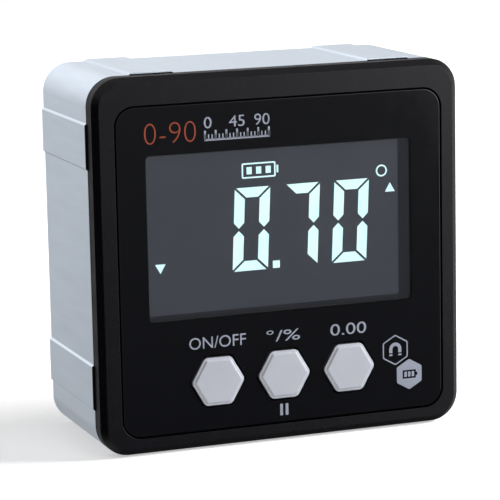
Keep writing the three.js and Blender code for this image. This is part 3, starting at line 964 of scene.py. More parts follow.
@dataclass(frozen=True)
class Finish:
    """A moulded, cast or coated surface with a fine grain and a faint mottle."""

    name: str
    slot: str | None
    colour: Colour
    roughness: float
    metallic: float = 0
    specular: float = 0.5
    grain: float = 0.12
    grain_height: float = 0.004
    mottle: float = 6
    mottle_share: float = 0.08
    wear_share: float = 1 / 3
    roughness_share: float = 0.1
    stretch: Point = (1, 1, 1)

    def material(self) -> bpy.types.Material:
        """Returns the material, made once."""
        found = bpy.data.materials.get(self.name)
        return found or self.make().material

    def make(self) -> Surface:
        """Builds the material's nodes.

        Returns:
            The surface, for a subclass to add to.
        """
        surface = Surface(self.name)
        patches = surface.spread(surface.noise(self.mottle, self.stretch), 0, 1)
        low = tuple(channel * (1 - self.mottle_share) for channel in self.colour)
        high = tuple(min(1.0, channel * (1 + self.mottle_share)) for channel in self.colour)
        spread = self.roughness * self.roughness_share
        wear = surface.noise(self.mottle * self.wear_share, self.stretch)
        surface.paint(
            Metallic=self.metallic,
            Specular_IOR_Level=self.specular,
            Base_Color=surface.blend(patches, low, high),
            Roughness=surface.spread(wear, self.roughness - spread, self.roughness + spread),
        )
        surface.relief(surface.noise(self.grain, self.stretch, detail=2), self.grain_height)
        return surface


@dataclass(frozen=True)
class ClearFinish(Finish):
    """A clear polished sheet."""

    index: float = 1.49

    def make(self) -> Surface:
        """Builds the clear sheet's nodes.

        Returns:
            The surface.
        """
        surface = super().make()
        surface.paint(Transmission_Weight=1, IOR=self.index)
        return surface


@dataclass(frozen=True)
class LitFinish(Finish):
    """A surface that glows by itself."""

    glow: Colour = (1, 1, 1)

    def make(self) -> Surface:
        """Builds the glowing surface's nodes.

        Returns:
            The surface.
        """
        surface = super().make()
        surface.paint(Emission_Color=(*self.glow, 1), Emission_Strength=1)
        return surface


@dataclass(frozen=True)
class BoardFinish(Finish):
    """Solder mask over copper tracks."""

    track: float = 0.9
    track_height: float = 0.03
    copper: Colour = (0.05, 0.22, 0.07)

    def make(self) -> Surface:
        """Builds the board's nodes, with tracks that show as slightly raised paler lines.

        Returns:
            The surface.
        """
        surface = super().make()
        pattern = {"distance": "MANHATTAN", "feature": "F1"}
        cells = surface.add(
            "ShaderNodeTexVoronoi", pattern, Vector=surface.place, Scale=1 / (self.track * MM))
        tracks = surface.spread(cells.outputs["Distance"], 0, 1)
        surface.paint(Base_Color=surface.blend(tracks, self.colour, self.copper))
        surface.relief(tracks, self.track_height)
        return surface


ANODISED = Finish("anodised_aluminium", "body_metal", (0.615, 0.69, 0.785), 0.34, metallic=1, grain=0.09,
                  grain_height=0.003, mottle=3, mottle_share=0.03, stretch=(1, 0.12, 1))
NICKEL = Finish("nickel_plate", "magnet", (0.52, 0.51, 0.48), 0.22, metallic=1, grain_height=0.001)
CHARCOAL = Finish("charcoal_plastic", "bezel_plastic", (0.0012, 0.0012, 0.003), 0.27, specular=0.32,
                  grain=0.16, grain_height=0.006, roughness_share=0.03)
CHARCOAL_SIDE = Finish("charcoal_side", "bezel_plastic", (0.0012, 0.0012, 0.0026), 0.55, specular=0.16,
                       grain=0.16, grain_height=0.006)
# The recess round the panel: a copy of the charcoal with almost no gloss, painted shade that makes the
# groove read black.
CHARCOAL_RECESS_SHADE = Finish("charcoal_recess", "bezel_plastic", (0.0012, 0.0012, 0.0016), 0.6, specular=0.03,
                         grain=0.16, grain_height=0.006)
COVER_PLASTIC = Finish("cover_plastic", "cover_plastic", (0.011, 0.011, 0.0125), 0.5, grain=0.22,
                       grain_height=0.012)
PANEL_GLOSS = Finish("panel_gloss", "front_panel", (0.0028, 0.0030, 0.0046), 0.08, specular=0.45, grain=2.5,
                     grain_height=0.0004, roughness_share=0.2)
PANEL_CLEAR = ClearFinish("panel_clear", "front_panel", (0.98, 0.98, 0.98), 0.0, grain=2.5,
                          grain_height=0.0001, mottle_share=0.005)
MASK_INK = Finish("mask_ink", "print_ink", (0.004, 0.004, 0.005), 0.6)
RUBBER = Finish("black_rubber", "black_rubber", (0.008, 0.008, 0.008), 0.8, specular=0.3, grain=0.2,
                grain_height=0.01)
GASKET = Finish("gasket_rubber", "black_rubber", (0.003, 0.003, 0.004), 0.8, specular=0.12, grain=0.2,
                grain_height=0.01)
KEY_PLASTIC = Finish("key_plastic", "button_plastic", (0.46, 0.475, 0.53), 0.38, grain=0.14,
                     grain_height=0.003, mottle_share=0.02)
# Side walls of the keys: a dark copy of the key plastic, painted shade for the gap round each key.
KEY_WALL_SHADE = Finish("key_wall", "button_plastic", (0.10, 0.102, 0.115), 0.5, specular=0.3, mottle_share=0.02)
LEGEND_INK = Finish("legend_ink", None, (0.28, 0.305, 0.375), 0.6, grain_height=0.001)
ORANGE_INK = Finish("orange_ink", None, (0.25, 0.038, 0.010), 0.6, grain_height=0.001)
LCD_FIELD = LitFinish("lcd_field", "display_glass", (0.02, 0.021, 0.024), 0.2, glow=(0.034, 0.038, 0.050),
                      specular=0.25, grain_height=0.00003)
LCD_BORDER = LitFinish("lcd_border", "display_glass", (0.008, 0.008, 0.01), 0.2, glow=(0.013, 0.014, 0.019),
                       specular=0.25, grain_height=0.00003)
LCD_LIT = LitFinish("lcd_lit", "display_glass", (0.3, 0.33, 0.34), 0.3, glow=(0.62, 0.93, 0.95),
                    specular=0.25, grain_height=0.00003)
MILKY = Finish("milky_guide", "light_guide", (0.78, 0.82, 0.84), 0.35)
WHITE_PLASTIC = Finish("white_plastic", "white_plastic", (0.68, 0.68, 0.66), 0.5)
CHIP = Finish("chip_black", "chip_black", (0.012, 0.012, 0.013), 0.5, grain=0.08)
BOARD = BoardFinish("circuit_board", "circuit_board", (0.014, 0.10, 0.036), 0.35)
FOAM = Finish("dark_foam", "dark_foam", (0.06, 0.065, 0.07), 0.95, specular=0.2, grain=0.4,
              grain_height=0.08)
FOIL = Finish("cell_foil", "cell_wrap", (0.62, 0.63, 0.66), 0.3, metallic=1, grain=1.4, grain_height=0.02)
LEAD = Finish("lead_sheath", "lead_sheath", (0.26, 0.013, 0.010), 0.45, grain_height=0.002)
PLATED = Finish("plated_shell", "socket_shell", (0.55, 0.55, 0.56), 0.28, metallic=1, grain_height=0.001)
GOLD = Finish("gold_contact", "socket_shell", (0.83, 0.57, 0.22), 0.22, metallic=1, grain_height=0.001)
SCREW = Finish("black_screw", "screw_steel", (0.16, 0.16, 0.165), 0.36, metallic=1, grain=0.1,
               grain_height=0.003)


def dress(piece: Object, finishes: Sequence[Finish], body: Body, *nodes: str) -> None:
    """Finishes a piece and hangs it on its body.

    Args:
        piece: the finished mesh at the origin.
        finishes: one finish for each material slot.
        body: the body that it moves with.
        nodes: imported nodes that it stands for.
    """
    slots = piece.data.materials
    for index, finish in enumerate(finishes):
        if index < len(slots):
            slots[index] = finish.material()
        else:
            slots.append(finish.material())
    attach(piece, body.value)
    if nodes:
        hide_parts(*nodes)
    LOG.info("%s: %d faces on %s", piece.name, len(piece.data.polygons), body.value)


def coat(finish: Finish, *nodes: str) -> None:
    """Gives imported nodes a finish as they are.

    Args:
        finish: the finish.
        nodes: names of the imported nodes.
    """
    for name in nodes:
        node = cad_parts[name]
        node.data.materials.clear()
        node.data.materials.append(finish.material())
        LOG.info("%s: packed node in %s", name, finish.name)


# Sub-assemblies


@dataclass
class Outer:
    """Sizes of the case that several sub-assemblies share."""

    corner: float = 4.5
    wall: float = 3.2
    land_proud: float = 0.3
    land_root: float = 0.6
    side_land: float = 6.6
    side_margin: float = 7.2
    end_land: float = 6.6
    end_margin: float = 7.2
    steps: int = 20

    def __post_init__(self) -> None:
        """Reads the overall sizes from the frame."""
        bezel = span("front_bezel")
        self.width = bezel.width
        self.height = bezel.height

    def rule(self, inset: float) -> Outline:
        """Draws the case's outline, drawn in by an inset."""
        return rounded_rectangle(
            self.width - 2 * inset, self.height - 2 * inset, self.corner - inset, steps=self.steps)

    def cavity(self, inset: float) -> Outline:
        """Draws the outline of the hollow.

        Args:
            inset: how far it is drawn in.

        Returns:
            The points of the outline.
        """
        corner = max(self.corner - self.wall - inset, MM)
        shrink = 2 * (self.wall + inset)
        return rounded_rectangle(self.width - shrink, self.height - shrink, corner, steps=self.steps // 2)

    def strip(self, width: float, front: float, back: float, proud: float) -> Object:
        """Makes one land for the top face, with the middle of its front end at the origin.

        Args:
            width: width of the land's flat.
            front: depth of its front end.
            back: depth of its back end.
            proud: how far it stands out.

        Returns:
            The strip as a copy for the repeat tree.
        """
        half, root = width / 2, self.land_root
        outline = [
            (half + proud, 0),
            (half, proud),
            (-half, proud),
            (-half - proud, 0),
            (-half - proud, -root),
            (half + proud, -root),
        ]
        return centred(prism(outline, front, back), (0, front, 0))

    def lands(self, front: float, back: float, end_proud: float | None = None) -> Object:
        """Sets the eight lands on the case's four narrow faces.

        Args:
            front: depth of their front ends.
            back: depth of their back ends.
            end_proud: how far those on the base and top stand out, if not as far as the others.

        Returns:
            All the lands in one mesh.
        """
        along = self.height / 2 - self.side_margin - self.side_land / 2
        across = self.width / 2 - self.end_margin - self.end_land / 2
        side, top = self.width / 2, self.height / 2
        sides = [(x, front, z) for x in (-side, side) for z in (-along, along)]
        ends = [(x, front, z) for z in (top, -top) for x in (-across, across)]
        side_turns = [-QUARTER, -QUARTER, QUARTER, QUARTER]
        end_turns = [0, 0, 2 * QUARTER, 2 * QUARTER]
        sets = []
        for places, turns, width, proud in (
            (sides, side_turns, self.side_land, self.land_proud),
            (ends, end_turns, self.end_land, end_proud or self.land_proud),
        ):
            strip = self.strip(width, front, back, proud)
            points = points_object(places, turns)
            sets.append(repeat_tree().run(points, piece=strip, finish=ANODISED.material()))
            bpy.data.objects.remove(strip)
        return join_meshes(sets, "lands")


@dataclass
class MetalBody:
    """The extruded ring, the gasket in front of it and the magnets in its walls."""

    outer: Outer
    edge: float = 0.22
    fine_edge: float = 0.08
    rebate_depth: float = 2.5
    rebate_edge: float = 1.6
    crisp: float = 0.05
    crease: float = 30
    gasket_proud: float = 0.14

    def __post_init__(self) -> None:
        """Reads the ring's place from the frame."""
        self.place = span("body_frame")

    def section(self) -> Section:
        """Draws the wall's section, clockwise from the front edge.

        Returns:
            Pairs of inset and depth.
        """
        front, back = self.place.front, self.place.back
        wall, lip, fine = self.outer.wall, self.rebate_edge, self.fine_edge
        floor = back - self.rebate_depth
        side = eased(front, back, self.edge, self.edge)
        return [*side, (lip - fine, back), (lip, back - fine), (lip, floor), (wall, floor), (wall, front)]

    def ring(self) -> Object:
        """Runs the section round the case and joins the lands to it.

        Returns:
            The metal ring in one piece.
        """
        section = self.section()
        count = len(section)
        places = [(-inset * MM, (depth + FACE) * MM, 0) for inset, depth in section]
        mesh = bpy.data.meshes.new("section")
        mesh.from_pydata(places, [(i, (i + 1) % count) for i in range(count)], [])
        piece = linked("body_ring", mesh)
        lands = self.outer.lands(self.place.front, self.place.back - self.edge)
        lands.data.transform(Matrix.Translation((0, 0, -MIDDLE * MM)))
        ring_tree().run(
            piece,
            width=self.outer.width * MM,
            height=self.outer.height * MM,
            corner=self.outer.corner * MM,
            steps=self.outer.steps,
            lands=lands,
            finish=ANODISED.material(),
        )
        bpy.data.objects.remove(lands)
        piece.data.transform(Matrix.Translation((0, 0, MIDDLE * MM)))
        return shade(soften(piece, self.crisp, angle=self.crease))

    def gasket(self) -> Object:
        """Makes the thin sheet with the ring's outline.

        Returns:
            The gasket.
        """
        sheet = span("front_gasket")
        front, back = sheet.front, sheet.back
        piece = prism(self.outer.rule(0), front, back, "bezel_gasket")
        work(piece, Way.JOIN, self.outer.lands(front, back, self.gasket_proud))
        work(piece, Way.CUT, prism(self.outer.cavity(0), front - OVER, back + OVER))
        return shade(piece)

    def build(self) -> None:
        """Builds and dresses the sub-assembly."""
        dress(self.ring(), [ANODISED], Body.CASE, "body_frame")
        dress(self.gasket(), [GASKET], Body.CASE, "front_gasket")
        coat(NICKEL, *(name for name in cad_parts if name.startswith("magnet_")))


@dataclass
class FrontPlate:
    """The moulded bezel, the glossy panel let into it and the printed mask behind the panel."""

    outer: Outer
    chamfer: float = 0.95
    edge: float = 0.1
    depth: float = 3
    web: float = 1.4
    rim_gap: float = 0.2
    rim_wall: float = 1.2
    rim_reach: float = 3.8
    groove: float = 0.3
    floor_gap: float = 0.2
    panel_corner: float = 2.9
    panel_edge: float = 0.09
    crisp_share: float = 0.15
    side_band: float = 4.9
    title_band: float = 7.58
    key_band: float = 17.72
    window_corner: float = 0.6
    window_relief: float = 1
    pane_reach: float = 0.12
    key_flats: float = 8.23
    key_corner: float = 0.6
    pillar_inset: float = 5.8
    pillar: float = 2.4
    pillar_bore: float = 1.25
    bore_depth: float = 8
    boss: float = 1.9
    boss_bore: float = 0.9
    boss_gap: float = 0.04
    round_steps: int = 32
    bore_steps: int = 24
    side_slope: float = 0.1

    def __post_init__(self) -> None:
        """Reads the panel's place from the frame and works out the window's."""
        self.panel = span("front_panel")
        self.window = Span(
            -self.panel.width / 2 + self.side_band,
            self.panel.width / 2 - self.side_band,
            self.panel.front,
            self.panel.back,
            self.panel.bottom + self.key_band,
            self.panel.top - self.title_band,
        )

    def panel_rule(self, inset: float) -> Outline:
        """Draws the panel's outline, drawn in by an inset."""
        return around(self.panel, -inset, self.panel_corner - inset)

    def window_rule(self, inset: float) -> Outline:
        """Draws the window's outline, drawn in by an inset."""
        return around(self.window, -inset, max(self.window_corner - inset, MM), steps=6)

    def key_rules(self) -> list[Rule]:
        """Gives the outline rules of the three holes for the keys.

        Returns:
            One rule for each key.
        """
        keys = [span(f"{name}_button") for name in KEYS]
        return [
            lambda inset, key=key: rounded_hexagon(
                self.key_flats - 2 * inset, self.key_corner, key.x, key.z)
            for key in keys
        ]

    def recess_back(self) -> float:
        """Gives the depth of the floor of the panel's recess."""
        return self.panel.back + self.floor_gap

    def bezel(self) -> Object:
        """Moulds the bezel with its rim, recess, holes and pillars.

        Returns:
            The bezel, whose matt sides and whose recess have material slots of their own. The
            recess's slot is painted shade.
        """
        end = span("front_bezel").back
        floor = self.recess_back()
        web_back = floor + self.web
        rim_end = self.depth + self.rim_reach
        section = [(self.chamfer, 0), (0, self.chamfer), (0, self.depth)]
        piece = loft("front_bezel_shell", self.outer.rule, section)
        work(piece, Way.JOIN, prism(self.outer.cavity(self.rim_gap), self.depth - OVER, rim_end))
        hollow = self.outer.cavity(self.rim_gap + self.rim_wall)
        work(piece, Way.CUT, prism(hollow, web_back, rim_end + OVER))
        work(piece, Way.CUT, prism(self.panel_rule(-self.groove), -OVER, floor))
        openings = [self.window_rule(-self.window_relief), *(rule(0) for rule in self.key_rules())]
        work(piece, Way.CUT, *(prism(outline, -OVER, web_back + OVER) for outline in openings))
        across, up = self.outer.width / 2 - self.pillar_inset, self.outer.height / 2 - self.pillar_inset
        root, bore = web_back - self.web / 2, end - self.bore_depth
        for way, radius, steps, front, back in (
            (Way.JOIN, self.pillar, self.round_steps, root, end),
            (Way.CUT, self.pillar_bore, self.bore_steps, bore, end + OVER),
        ):
            places = four_places(across, up)
            work(piece, way, *(prism(circle(radius, x, z, steps), front, back) for x, z in places))
        self.sort_faces(shade(soften(piece, self.edge)))
        return piece

    def sort_faces(self, piece: Object) -> None:
        """Gives the sides the second material slot and the recess the third.

        Args:
            piece: the finished bezel.
        """
        reach = self.groove + self.edge
        for face in piece.data.polygons:
            x, depth, z = face.center.x / MM, face.center.y / MM - FACE, face.center.z / MM - MIDDLE
            across = abs(x - self.panel.x) < self.panel.width / 2 + reach
            upwards = abs(z - self.panel.z) < self.panel.height / 2 + reach
            if abs(face.normal.y) < self.side_slope and self.chamfer < depth < self.depth:
                face.material_index = 1
            # The recess and the walls of its groove get the painted shade of the third slot.
            elif across and upwards and depth > self.edge:
                face.material_index = 2

    def bosses(self) -> Object:
        """Makes the four short bosses for the board's screws, each with its bore.

        Returns:
            The bosses in one mesh.
        """
        back = span("main_board").front - self.boss_gap
        made = []
        for number in SCREW_NUMBERS:
            screw = span(f"board_screw_{number}")
            wall, bore = (
                circle(radius, screw.x, screw.z, self.round_steps)
                for radius in (self.boss, self.boss_bore)
            )
            made.append(pierced(wall, bore, self.recess_back() + self.web, back))
        return shade(join_meshes(made, "board_bosses"))

    def sheet(self) -> Object:
        """Makes the glossy panel.

        Returns:
            The panel, whose clear window is a material slot of its own.
        """
        section = eased(self.panel.front, self.panel.back, self.panel_edge, 0)
        pane = self.window_rule(-self.pane_reach)
        return shade(plate(
            "front_sheet", self.panel_rule, self.key_rules(), section, pane, self.crisp_share))

    def build(self) -> None:
        """Builds and dresses the sub-assembly."""
        dress(self.bezel(), [CHARCOAL, CHARCOAL_SIDE, CHARCOAL_RECESS_SHADE], Body.CASE, "front_bezel")
        dress(self.bosses(), [CHARCOAL], Body.CASE)
        dress(self.sheet(), [PANEL_GLOSS, PANEL_CLEAR], Body.CASE, "front_panel")
        coat(MASK_INK, "panel_print")


@dataclass
class Display:
    """The lit field of the display, its leaning digits and its signs."""

    field_width: float = 41.8
    field_shift: float = -0.36
    field_height: float = 24.7
    field_rise: float = 0.08
    film: float = 0.025
    film_gap: float = 0.008
    number: str = "070"
    digit_width: float = 5.85
    digit_height: float = 13.03
    upright: float = 1.7
    level: float = 1.55
    miter_gap: float = 0.25
    tip_gap: float = 0.19
    shoulder: float = 0.87
    digit_pitch: float = 8.3
    digit_place: Place = (4.10, 4.24)
    lean: float = 0.049
    point: float = 1.15
    point_place: Place = (-0.18, -1.64)
    ring: float = 0.95
    ring_wall: float = 0.25
    ring_place: Place = (17.78, 11.79)
    arrow: float = 0.9775
    up_place: Place = (19.2, 8.85)
    down_place: Place = (-19.2, -0.59)
    cell_place: Place = (-2.82, 13.35)
    cell_width: float = 5.6
    cell_height: float = 2.4
    cell_line: float = 0.24
    cell_cap: float = 0.3
    cell_bars: int = 3
    cell_gap: float = 0.72
    cell_margin: float = 0.4
    corner_share: float = 0.25

    def __post_init__(self) -> None:
        """Reads the place of the glass from the frame and stacks the films in front of it."""
        self.glass = span("lcd_glass")
        self.field_back = self.glass.front - self.film_gap
        self.lit_back = self.field_back - self.film - self.film_gap
        self.lit_front = self.lit_back - self.film

    def field(self) -> Object:
        """Lays the lit field in front of the glass.

        Returns:
            The field.
        """
        x, z = self.glass.x + self.field_shift, self.glass.z + self.field_rise
        outline = rounded_rectangle(self.field_width, self.field_height, self.film, x, z, steps=2)
        return shade(prism(outline, self.field_back - self.film, self.field_back, "display_field"))

    def lit(self, outline: Outline) -> Object:
        """Makes one lit shape."""
        return prism(outline, self.lit_front, self.lit_back)

    def bar(self) -> Outline:
        """Draws the topmost segment about the digit's middle.

        Returns:
            Its outline.
        """
        outer, top = self.digit_width / 2 - self.miter_gap, self.digit_height / 2
        inner, low = outer - self.upright, top - self.level
        return [(outer, top), (-outer, top), (-inner, low), (inner, low)]

    def side(self, hand: int) -> Outline:
        """Draws an upper side segment about the digit's middle.

        Args:
            hand: 1 for the right-hand one, -1 for the left-hand one.

        Returns:
            Its outline.
        """
        outer, top = self.digit_width / 2, self.digit_height / 2 - self.miter_gap
        inner = outer - self.upright
        low = self.tip_gap + self.shoulder
        outline = [
            (outer, low),
            (outer, top),
            (inner, top - self.level),
            (inner, low),
            ((outer + inner) / 2, self.tip_gap),
        ]
        return outline if hand > 0 else [(-x, z) for x, z in reversed(outline)]

    def digits(self) -> Object:
        """Lights the segments of the number.

        Returns:
            All the digits in one mesh.
        """
        x, z = self.digit_place
        middle = (len(self.number) - 1) / 2
        places, turns, kinds = [], [], []
        for index, digit in enumerate(self.number):
            for kind, turned in SEGMENTS[digit]:
                places.append((x + (index - middle) * self.digit_pitch, self.lit_front, z))
                turns.append(2 * QUARTER * turned)
                kinds.append(kind)
        points = points_object(places, turns, kinds)
        bar, upright, mirrored = (
            centred(self.lit(outline), (0, self.lit_front, 0))
            for outline in (self.bar(), self.side(1), self.side(-1))
        )
        digit_tree().run(
            points,
            bar=bar,
            upright=upright,
            mirrored=mirrored,
            lean=self.lean,
            level=(z + MIDDLE) * MM,
            finish=LCD_LIT.material(),
        )
        for shape in (bar, upright, mirrored):
            bpy.data.objects.remove(shape)
        points.name = "display_digits"
        return shade(points)

    def cell_sign(self) -> list[Object]:
        """Makes the sign of a charged cell.

        Returns:
            Its frame, its cap and its bars.
        """
        x, z = self.cell_place
        width, height, line, cap_width = self.cell_width, self.cell_height, self.cell_line, self.cell_cap
        corner = line * self.corner_share
        outline = rounded_rectangle(width, height, line, x, z, steps=4)
        hole = rounded_rectangle(width - 2 * line, height - 2 * line, corner, x, z, steps=4)
        cap = rounded_rectangle(
            cap_width, height / 2, cap_width * self.corner_share, x + width / 2 + cap_width, z, steps=4)
        shapes = [pierced(outline, hole, self.lit_front, self.lit_back), self.lit(cap)]
        step = (width - 2 * line - self.cell_margin) / self.cell_bars
        first = x - (self.cell_bars - 1) * step / 2
        tall = height - 2 * line - 2 * self.cell_margin
        for index in range(self.cell_bars):
            bar = rounded_rectangle(step - self.cell_gap, tall, corner, first + index * step, z, steps=3)
            shapes.append(self.lit(bar))
        return shapes

    def arrow_sign(self, place: Place, way: int) -> Object:
        """Makes one small triangle.

        Args:
            place: its middle, across and upwards.
            way: 1 if it points up, -1 if it points down.

        Returns:
            The triangle.
        """
        x, z = place
        angles = [QUARTER * way + i * 4 * QUARTER / 3 for i in range(3)]
        return self.lit([(x + self.arrow * math.cos(a), z + self.arrow * math.sin(a)) for a in angles])

    def signs(self) -> Object:
        """Makes all the small lit signs.

        Returns:
            The signs in one mesh.
        """
        rim, hole = (circle(radius, *self.ring_place) for radius in (self.ring, self.ring - self.ring_wall))
        point = rounded_rectangle(self.point, self.point, self.film, *self.point_place, steps=2)
        shapes = [
            pierced(rim, hole, self.lit_front, self.lit_back),
            self.lit(point),
            self.arrow_sign(self.up_place, 1),
            self.arrow_sign(self.down_place, -1),
            *self.cell_sign(),
        ]
        return shade(join_meshes(shapes, "display_signs"))

    def build(self) -> None:
        """Builds and dresses the sub-assembly."""
        dress(self.field(), [LCD_FIELD], Body.CASE)
        dress(self.digits(), [LCD_LIT], Body.CASE)
        dress(self.signs(), [LCD_LIT], Body.CASE)
        coat(LCD_BORDER, "lcd_glass")


@dataclass
class Legends:
    """The printed words, numbers and signs on the face of the panel."""

    ink: float = 0.02
    sunk: float = 0.01
    height: float = 1.85
    corner_share: float = 1 / 6
    power_place: Place = (-10.97, -12.5)
    power_width: float = 9.3
    mode_place: Place = (-0.1, -12.5)
    mode_width: float = 5.6
    zero_place: Place = (10.87, -12.5)
    zero_width: float = 6.1
    pause_place: Place = (-0.15, -24.35)
    pause_bar: float = 0.46
    title_place: Place = (-17.86, 20.39)
    title_width: float = 8.3
    title_height: float = 3.2
    title_thinning: float = 0.024
    scale_place: Place = (-7.07, 18.9)
    scale_width: float = 10.7
    scale_line: float = 0.3
    scale_gap: float = 0.32
    scale_number: float = 1.75
    digit_share: float = 0.72
    minor: int = 19
    minor_tick: float = 0.85
    minor_line: float = 0.2
    major: int = 7
    major_tick: float = 1.45
    outline_sign: Place = (18.88, -16.72)
    filled_sign: Place = (21.26, -20.86)
    sign_flats: float = 4.3
    sign_corner: float = 0.2
    sign_line: float = 0.19
    magnet_outer: float = 1.05
    magnet_inner: float = 0.5
    magnet_arm: float = 0.6
    magnet_rise: float = 0.15
    magnet_tip: float = 0.28
    tip_corner_share: float = 1 / 9
    magnet_drop: float = 0.336
    bow_steps: int = 12
    cell_half: float = 1.15
    cell_tall: float = 0.68
    cell_cap: float = 0.26
    cell_bar: float = 0.44
    bar_corner_share: float = 1 / 12
    cell_step: float = 0.638

    def __post_init__(self) -> None:
        """Reads the face of the panel from the frame."""
        face = span("front_panel").front
        self.front = face - self.ink
        self.back = face + self.sunk

    def mark(self, outline: Outline) -> Object:
        """Prints one plain shape."""
        return prism(outline, self.front, self.back)

    def word(self, text: str, width: float, height: float, place: Place, thinning: float = 0) -> Object:
        """Prints letters or numbers of a given size."""
        return lettering(text, width, height, place, self.front, self.back, thinning)

    def pause(self) -> list[Object]:
        """Prints the pause sign.

        Returns:
            Its two bars.
        """
        x, z = self.pause_place
        wide = self.pause_bar
        corner = wide * self.corner_share
        return [
            self.mark(rounded_rectangle(wide, self.height, corner, x + side * wide, z, steps=3))
            for side in (-1, 1)
        ]

    def ticks(self, count: int, height: float, width: float) -> Object:
        """Prints one row of graduation ticks that stand on the scale's line.

        Args:
            count: how many ticks the row has.
            height: their height.
            width: their width.

        Returns:
            The row in one mesh.
        """
        x, z = self.scale_place
        reach = self.scale_width - self.scale_line
        corner = width * self.corner_share
        first = rounded_rectangle(width, height, corner, x - reach / 2, z + height / 2, steps=2)
        step = (reach / (count - 1) * MM, 0, 0)
        return row_tree().run(self.mark(first), count=count, step=step, finish=LEGEND_INK.material())

    def scale(self) -> Object:
        """Prints the scale in the title's place.

        Returns:
            The line, the ticks and the numbers in one mesh.
        """
        x, z = self.scale_place
        line, tall = self.scale_line, self.scale_number
        rise = z + self.major_tick + self.scale_gap + tall / 2
        left, right = x - self.scale_width / 2, x + self.scale_width / 2
        one = tall * self.digit_share
        pieces = [
            self.mark(rounded_rectangle(self.scale_width, line, line * self.corner_share, x, z, steps=3)),
            self.word("0", one, tall, (left + one / 2, rise)),
            self.word("45", 2 * one, tall, (x, rise)),
            self.word("90", 2 * one, tall, (right - one, rise)),
            self.ticks(self.minor, self.minor_tick, self.minor_line),
            self.ticks(self.major, self.major_tick, line),
        ]
        return shade(join_meshes(pieces, "scale_print"))

    def hexagon(self, place: Place, line: float = 0) -> Outline:
        """Draws the edge of a sign about its middle, drawn in by the width of a line."""
        flats = self.sign_flats - 2 * line
        return rounded_hexagon(flats, self.sign_corner, *place, steps=3, turn=QUARTER / 3)

    def magnet_sign(self) -> list[Object]:
        """Prints the sign of a horseshoe magnet in a hexagon.

        Returns:
            The hexagon, the magnet and its two tips.
        """
        x, z = self.outline_sign
        rim, hole = (self.hexagon(self.outline_sign, line) for line in (0, self.sign_line))
        outer, inner = self.magnet_outer, self.magnet_inner
        level, foot = z + self.magnet_rise, z + self.magnet_rise - self.magnet_arm
        bow = [i * 2 * QUARTER / self.bow_steps for i in range(self.bow_steps + 1)]
        outline = [(x + outer * math.cos(a), level + outer * math.sin(a)) for a in bow]
        outline += [(x - outer, foot), (x - inner, foot)]
        outline += [(x + inner * math.cos(a), level + inner * math.sin(a)) for a in reversed(bow)]
        outline += [(x + inner, foot), (x + outer, foot)]
        wide, tip, low = outer - inner, self.magnet_tip, foot - self.magnet_drop
        corner, reach = tip * self.tip_corner_share, outer - wide / 2
        tips = [
            self.mark(rounded_rectangle(wide, tip, corner, x + side * reach, low, steps=2))
            for side in (-1, 1)
        ]
        return [pierced(rim, hole, self.front, self.back), self.mark(outline), *tips]

    def cell_sign(self) -> list[Object]:
        """Prints a filled hexagon with the sign of a cell left out of it.

        Returns:
            The hexagon and the bars of the cell.
        """
        x, z = self.filled_sign
        wide, tall, cap, thick = self.cell_half, self.cell_tall, self.cell_cap, self.cell_bar
        body = [
            (x + wide, z - tall),
            (x + wide, z - cap),
            (x + wide + cap, z - cap),
            (x + wide + cap, z + cap),
            (x + wide, z + cap),
            (x + wide, z + tall),
            (x - wide, z + tall),
            (x - wide, z - tall),
        ]
        corner = thick * self.bar_corner_share
        bars = [
            self.mark(rounded_rectangle(
                thick, 2 * (tall - cap), corner, x + side * self.cell_step, z, steps=2))
            for side in (-1, 0, 1)
        ]
        return [pierced(self.hexagon(self.filled_sign), body, self.front, self.back), *bars]

    def build(self) -> None:
        """Builds and dresses the sub-assembly."""
        words = [
            self.word("ON/OFF", self.power_width, self.height, self.power_place),
            self.word("°/%", self.mode_width, self.height, self.mode_place),
            self.word("0.00", self.zero_width, self.height, self.zero_place),
            *self.pause(),
        ]
        dress(shade(join_meshes(words, "key_print")), [LEGEND_INK], Body.CASE)
        dress(self.scale(), [LEGEND_INK], Body.CASE)
        signs = join_meshes([*self.magnet_sign(), *self.cell_sign()], "sign_print")
        dress(shade(signs), [LEGEND_INK], Body.CASE)
        title = self.word("0-90", self.title_width, self.title_height, self.title_place, self.title_thinning)
        title.name = "title_print"
        dress(shade(title), [ORANGE_INK], Body.CASE)


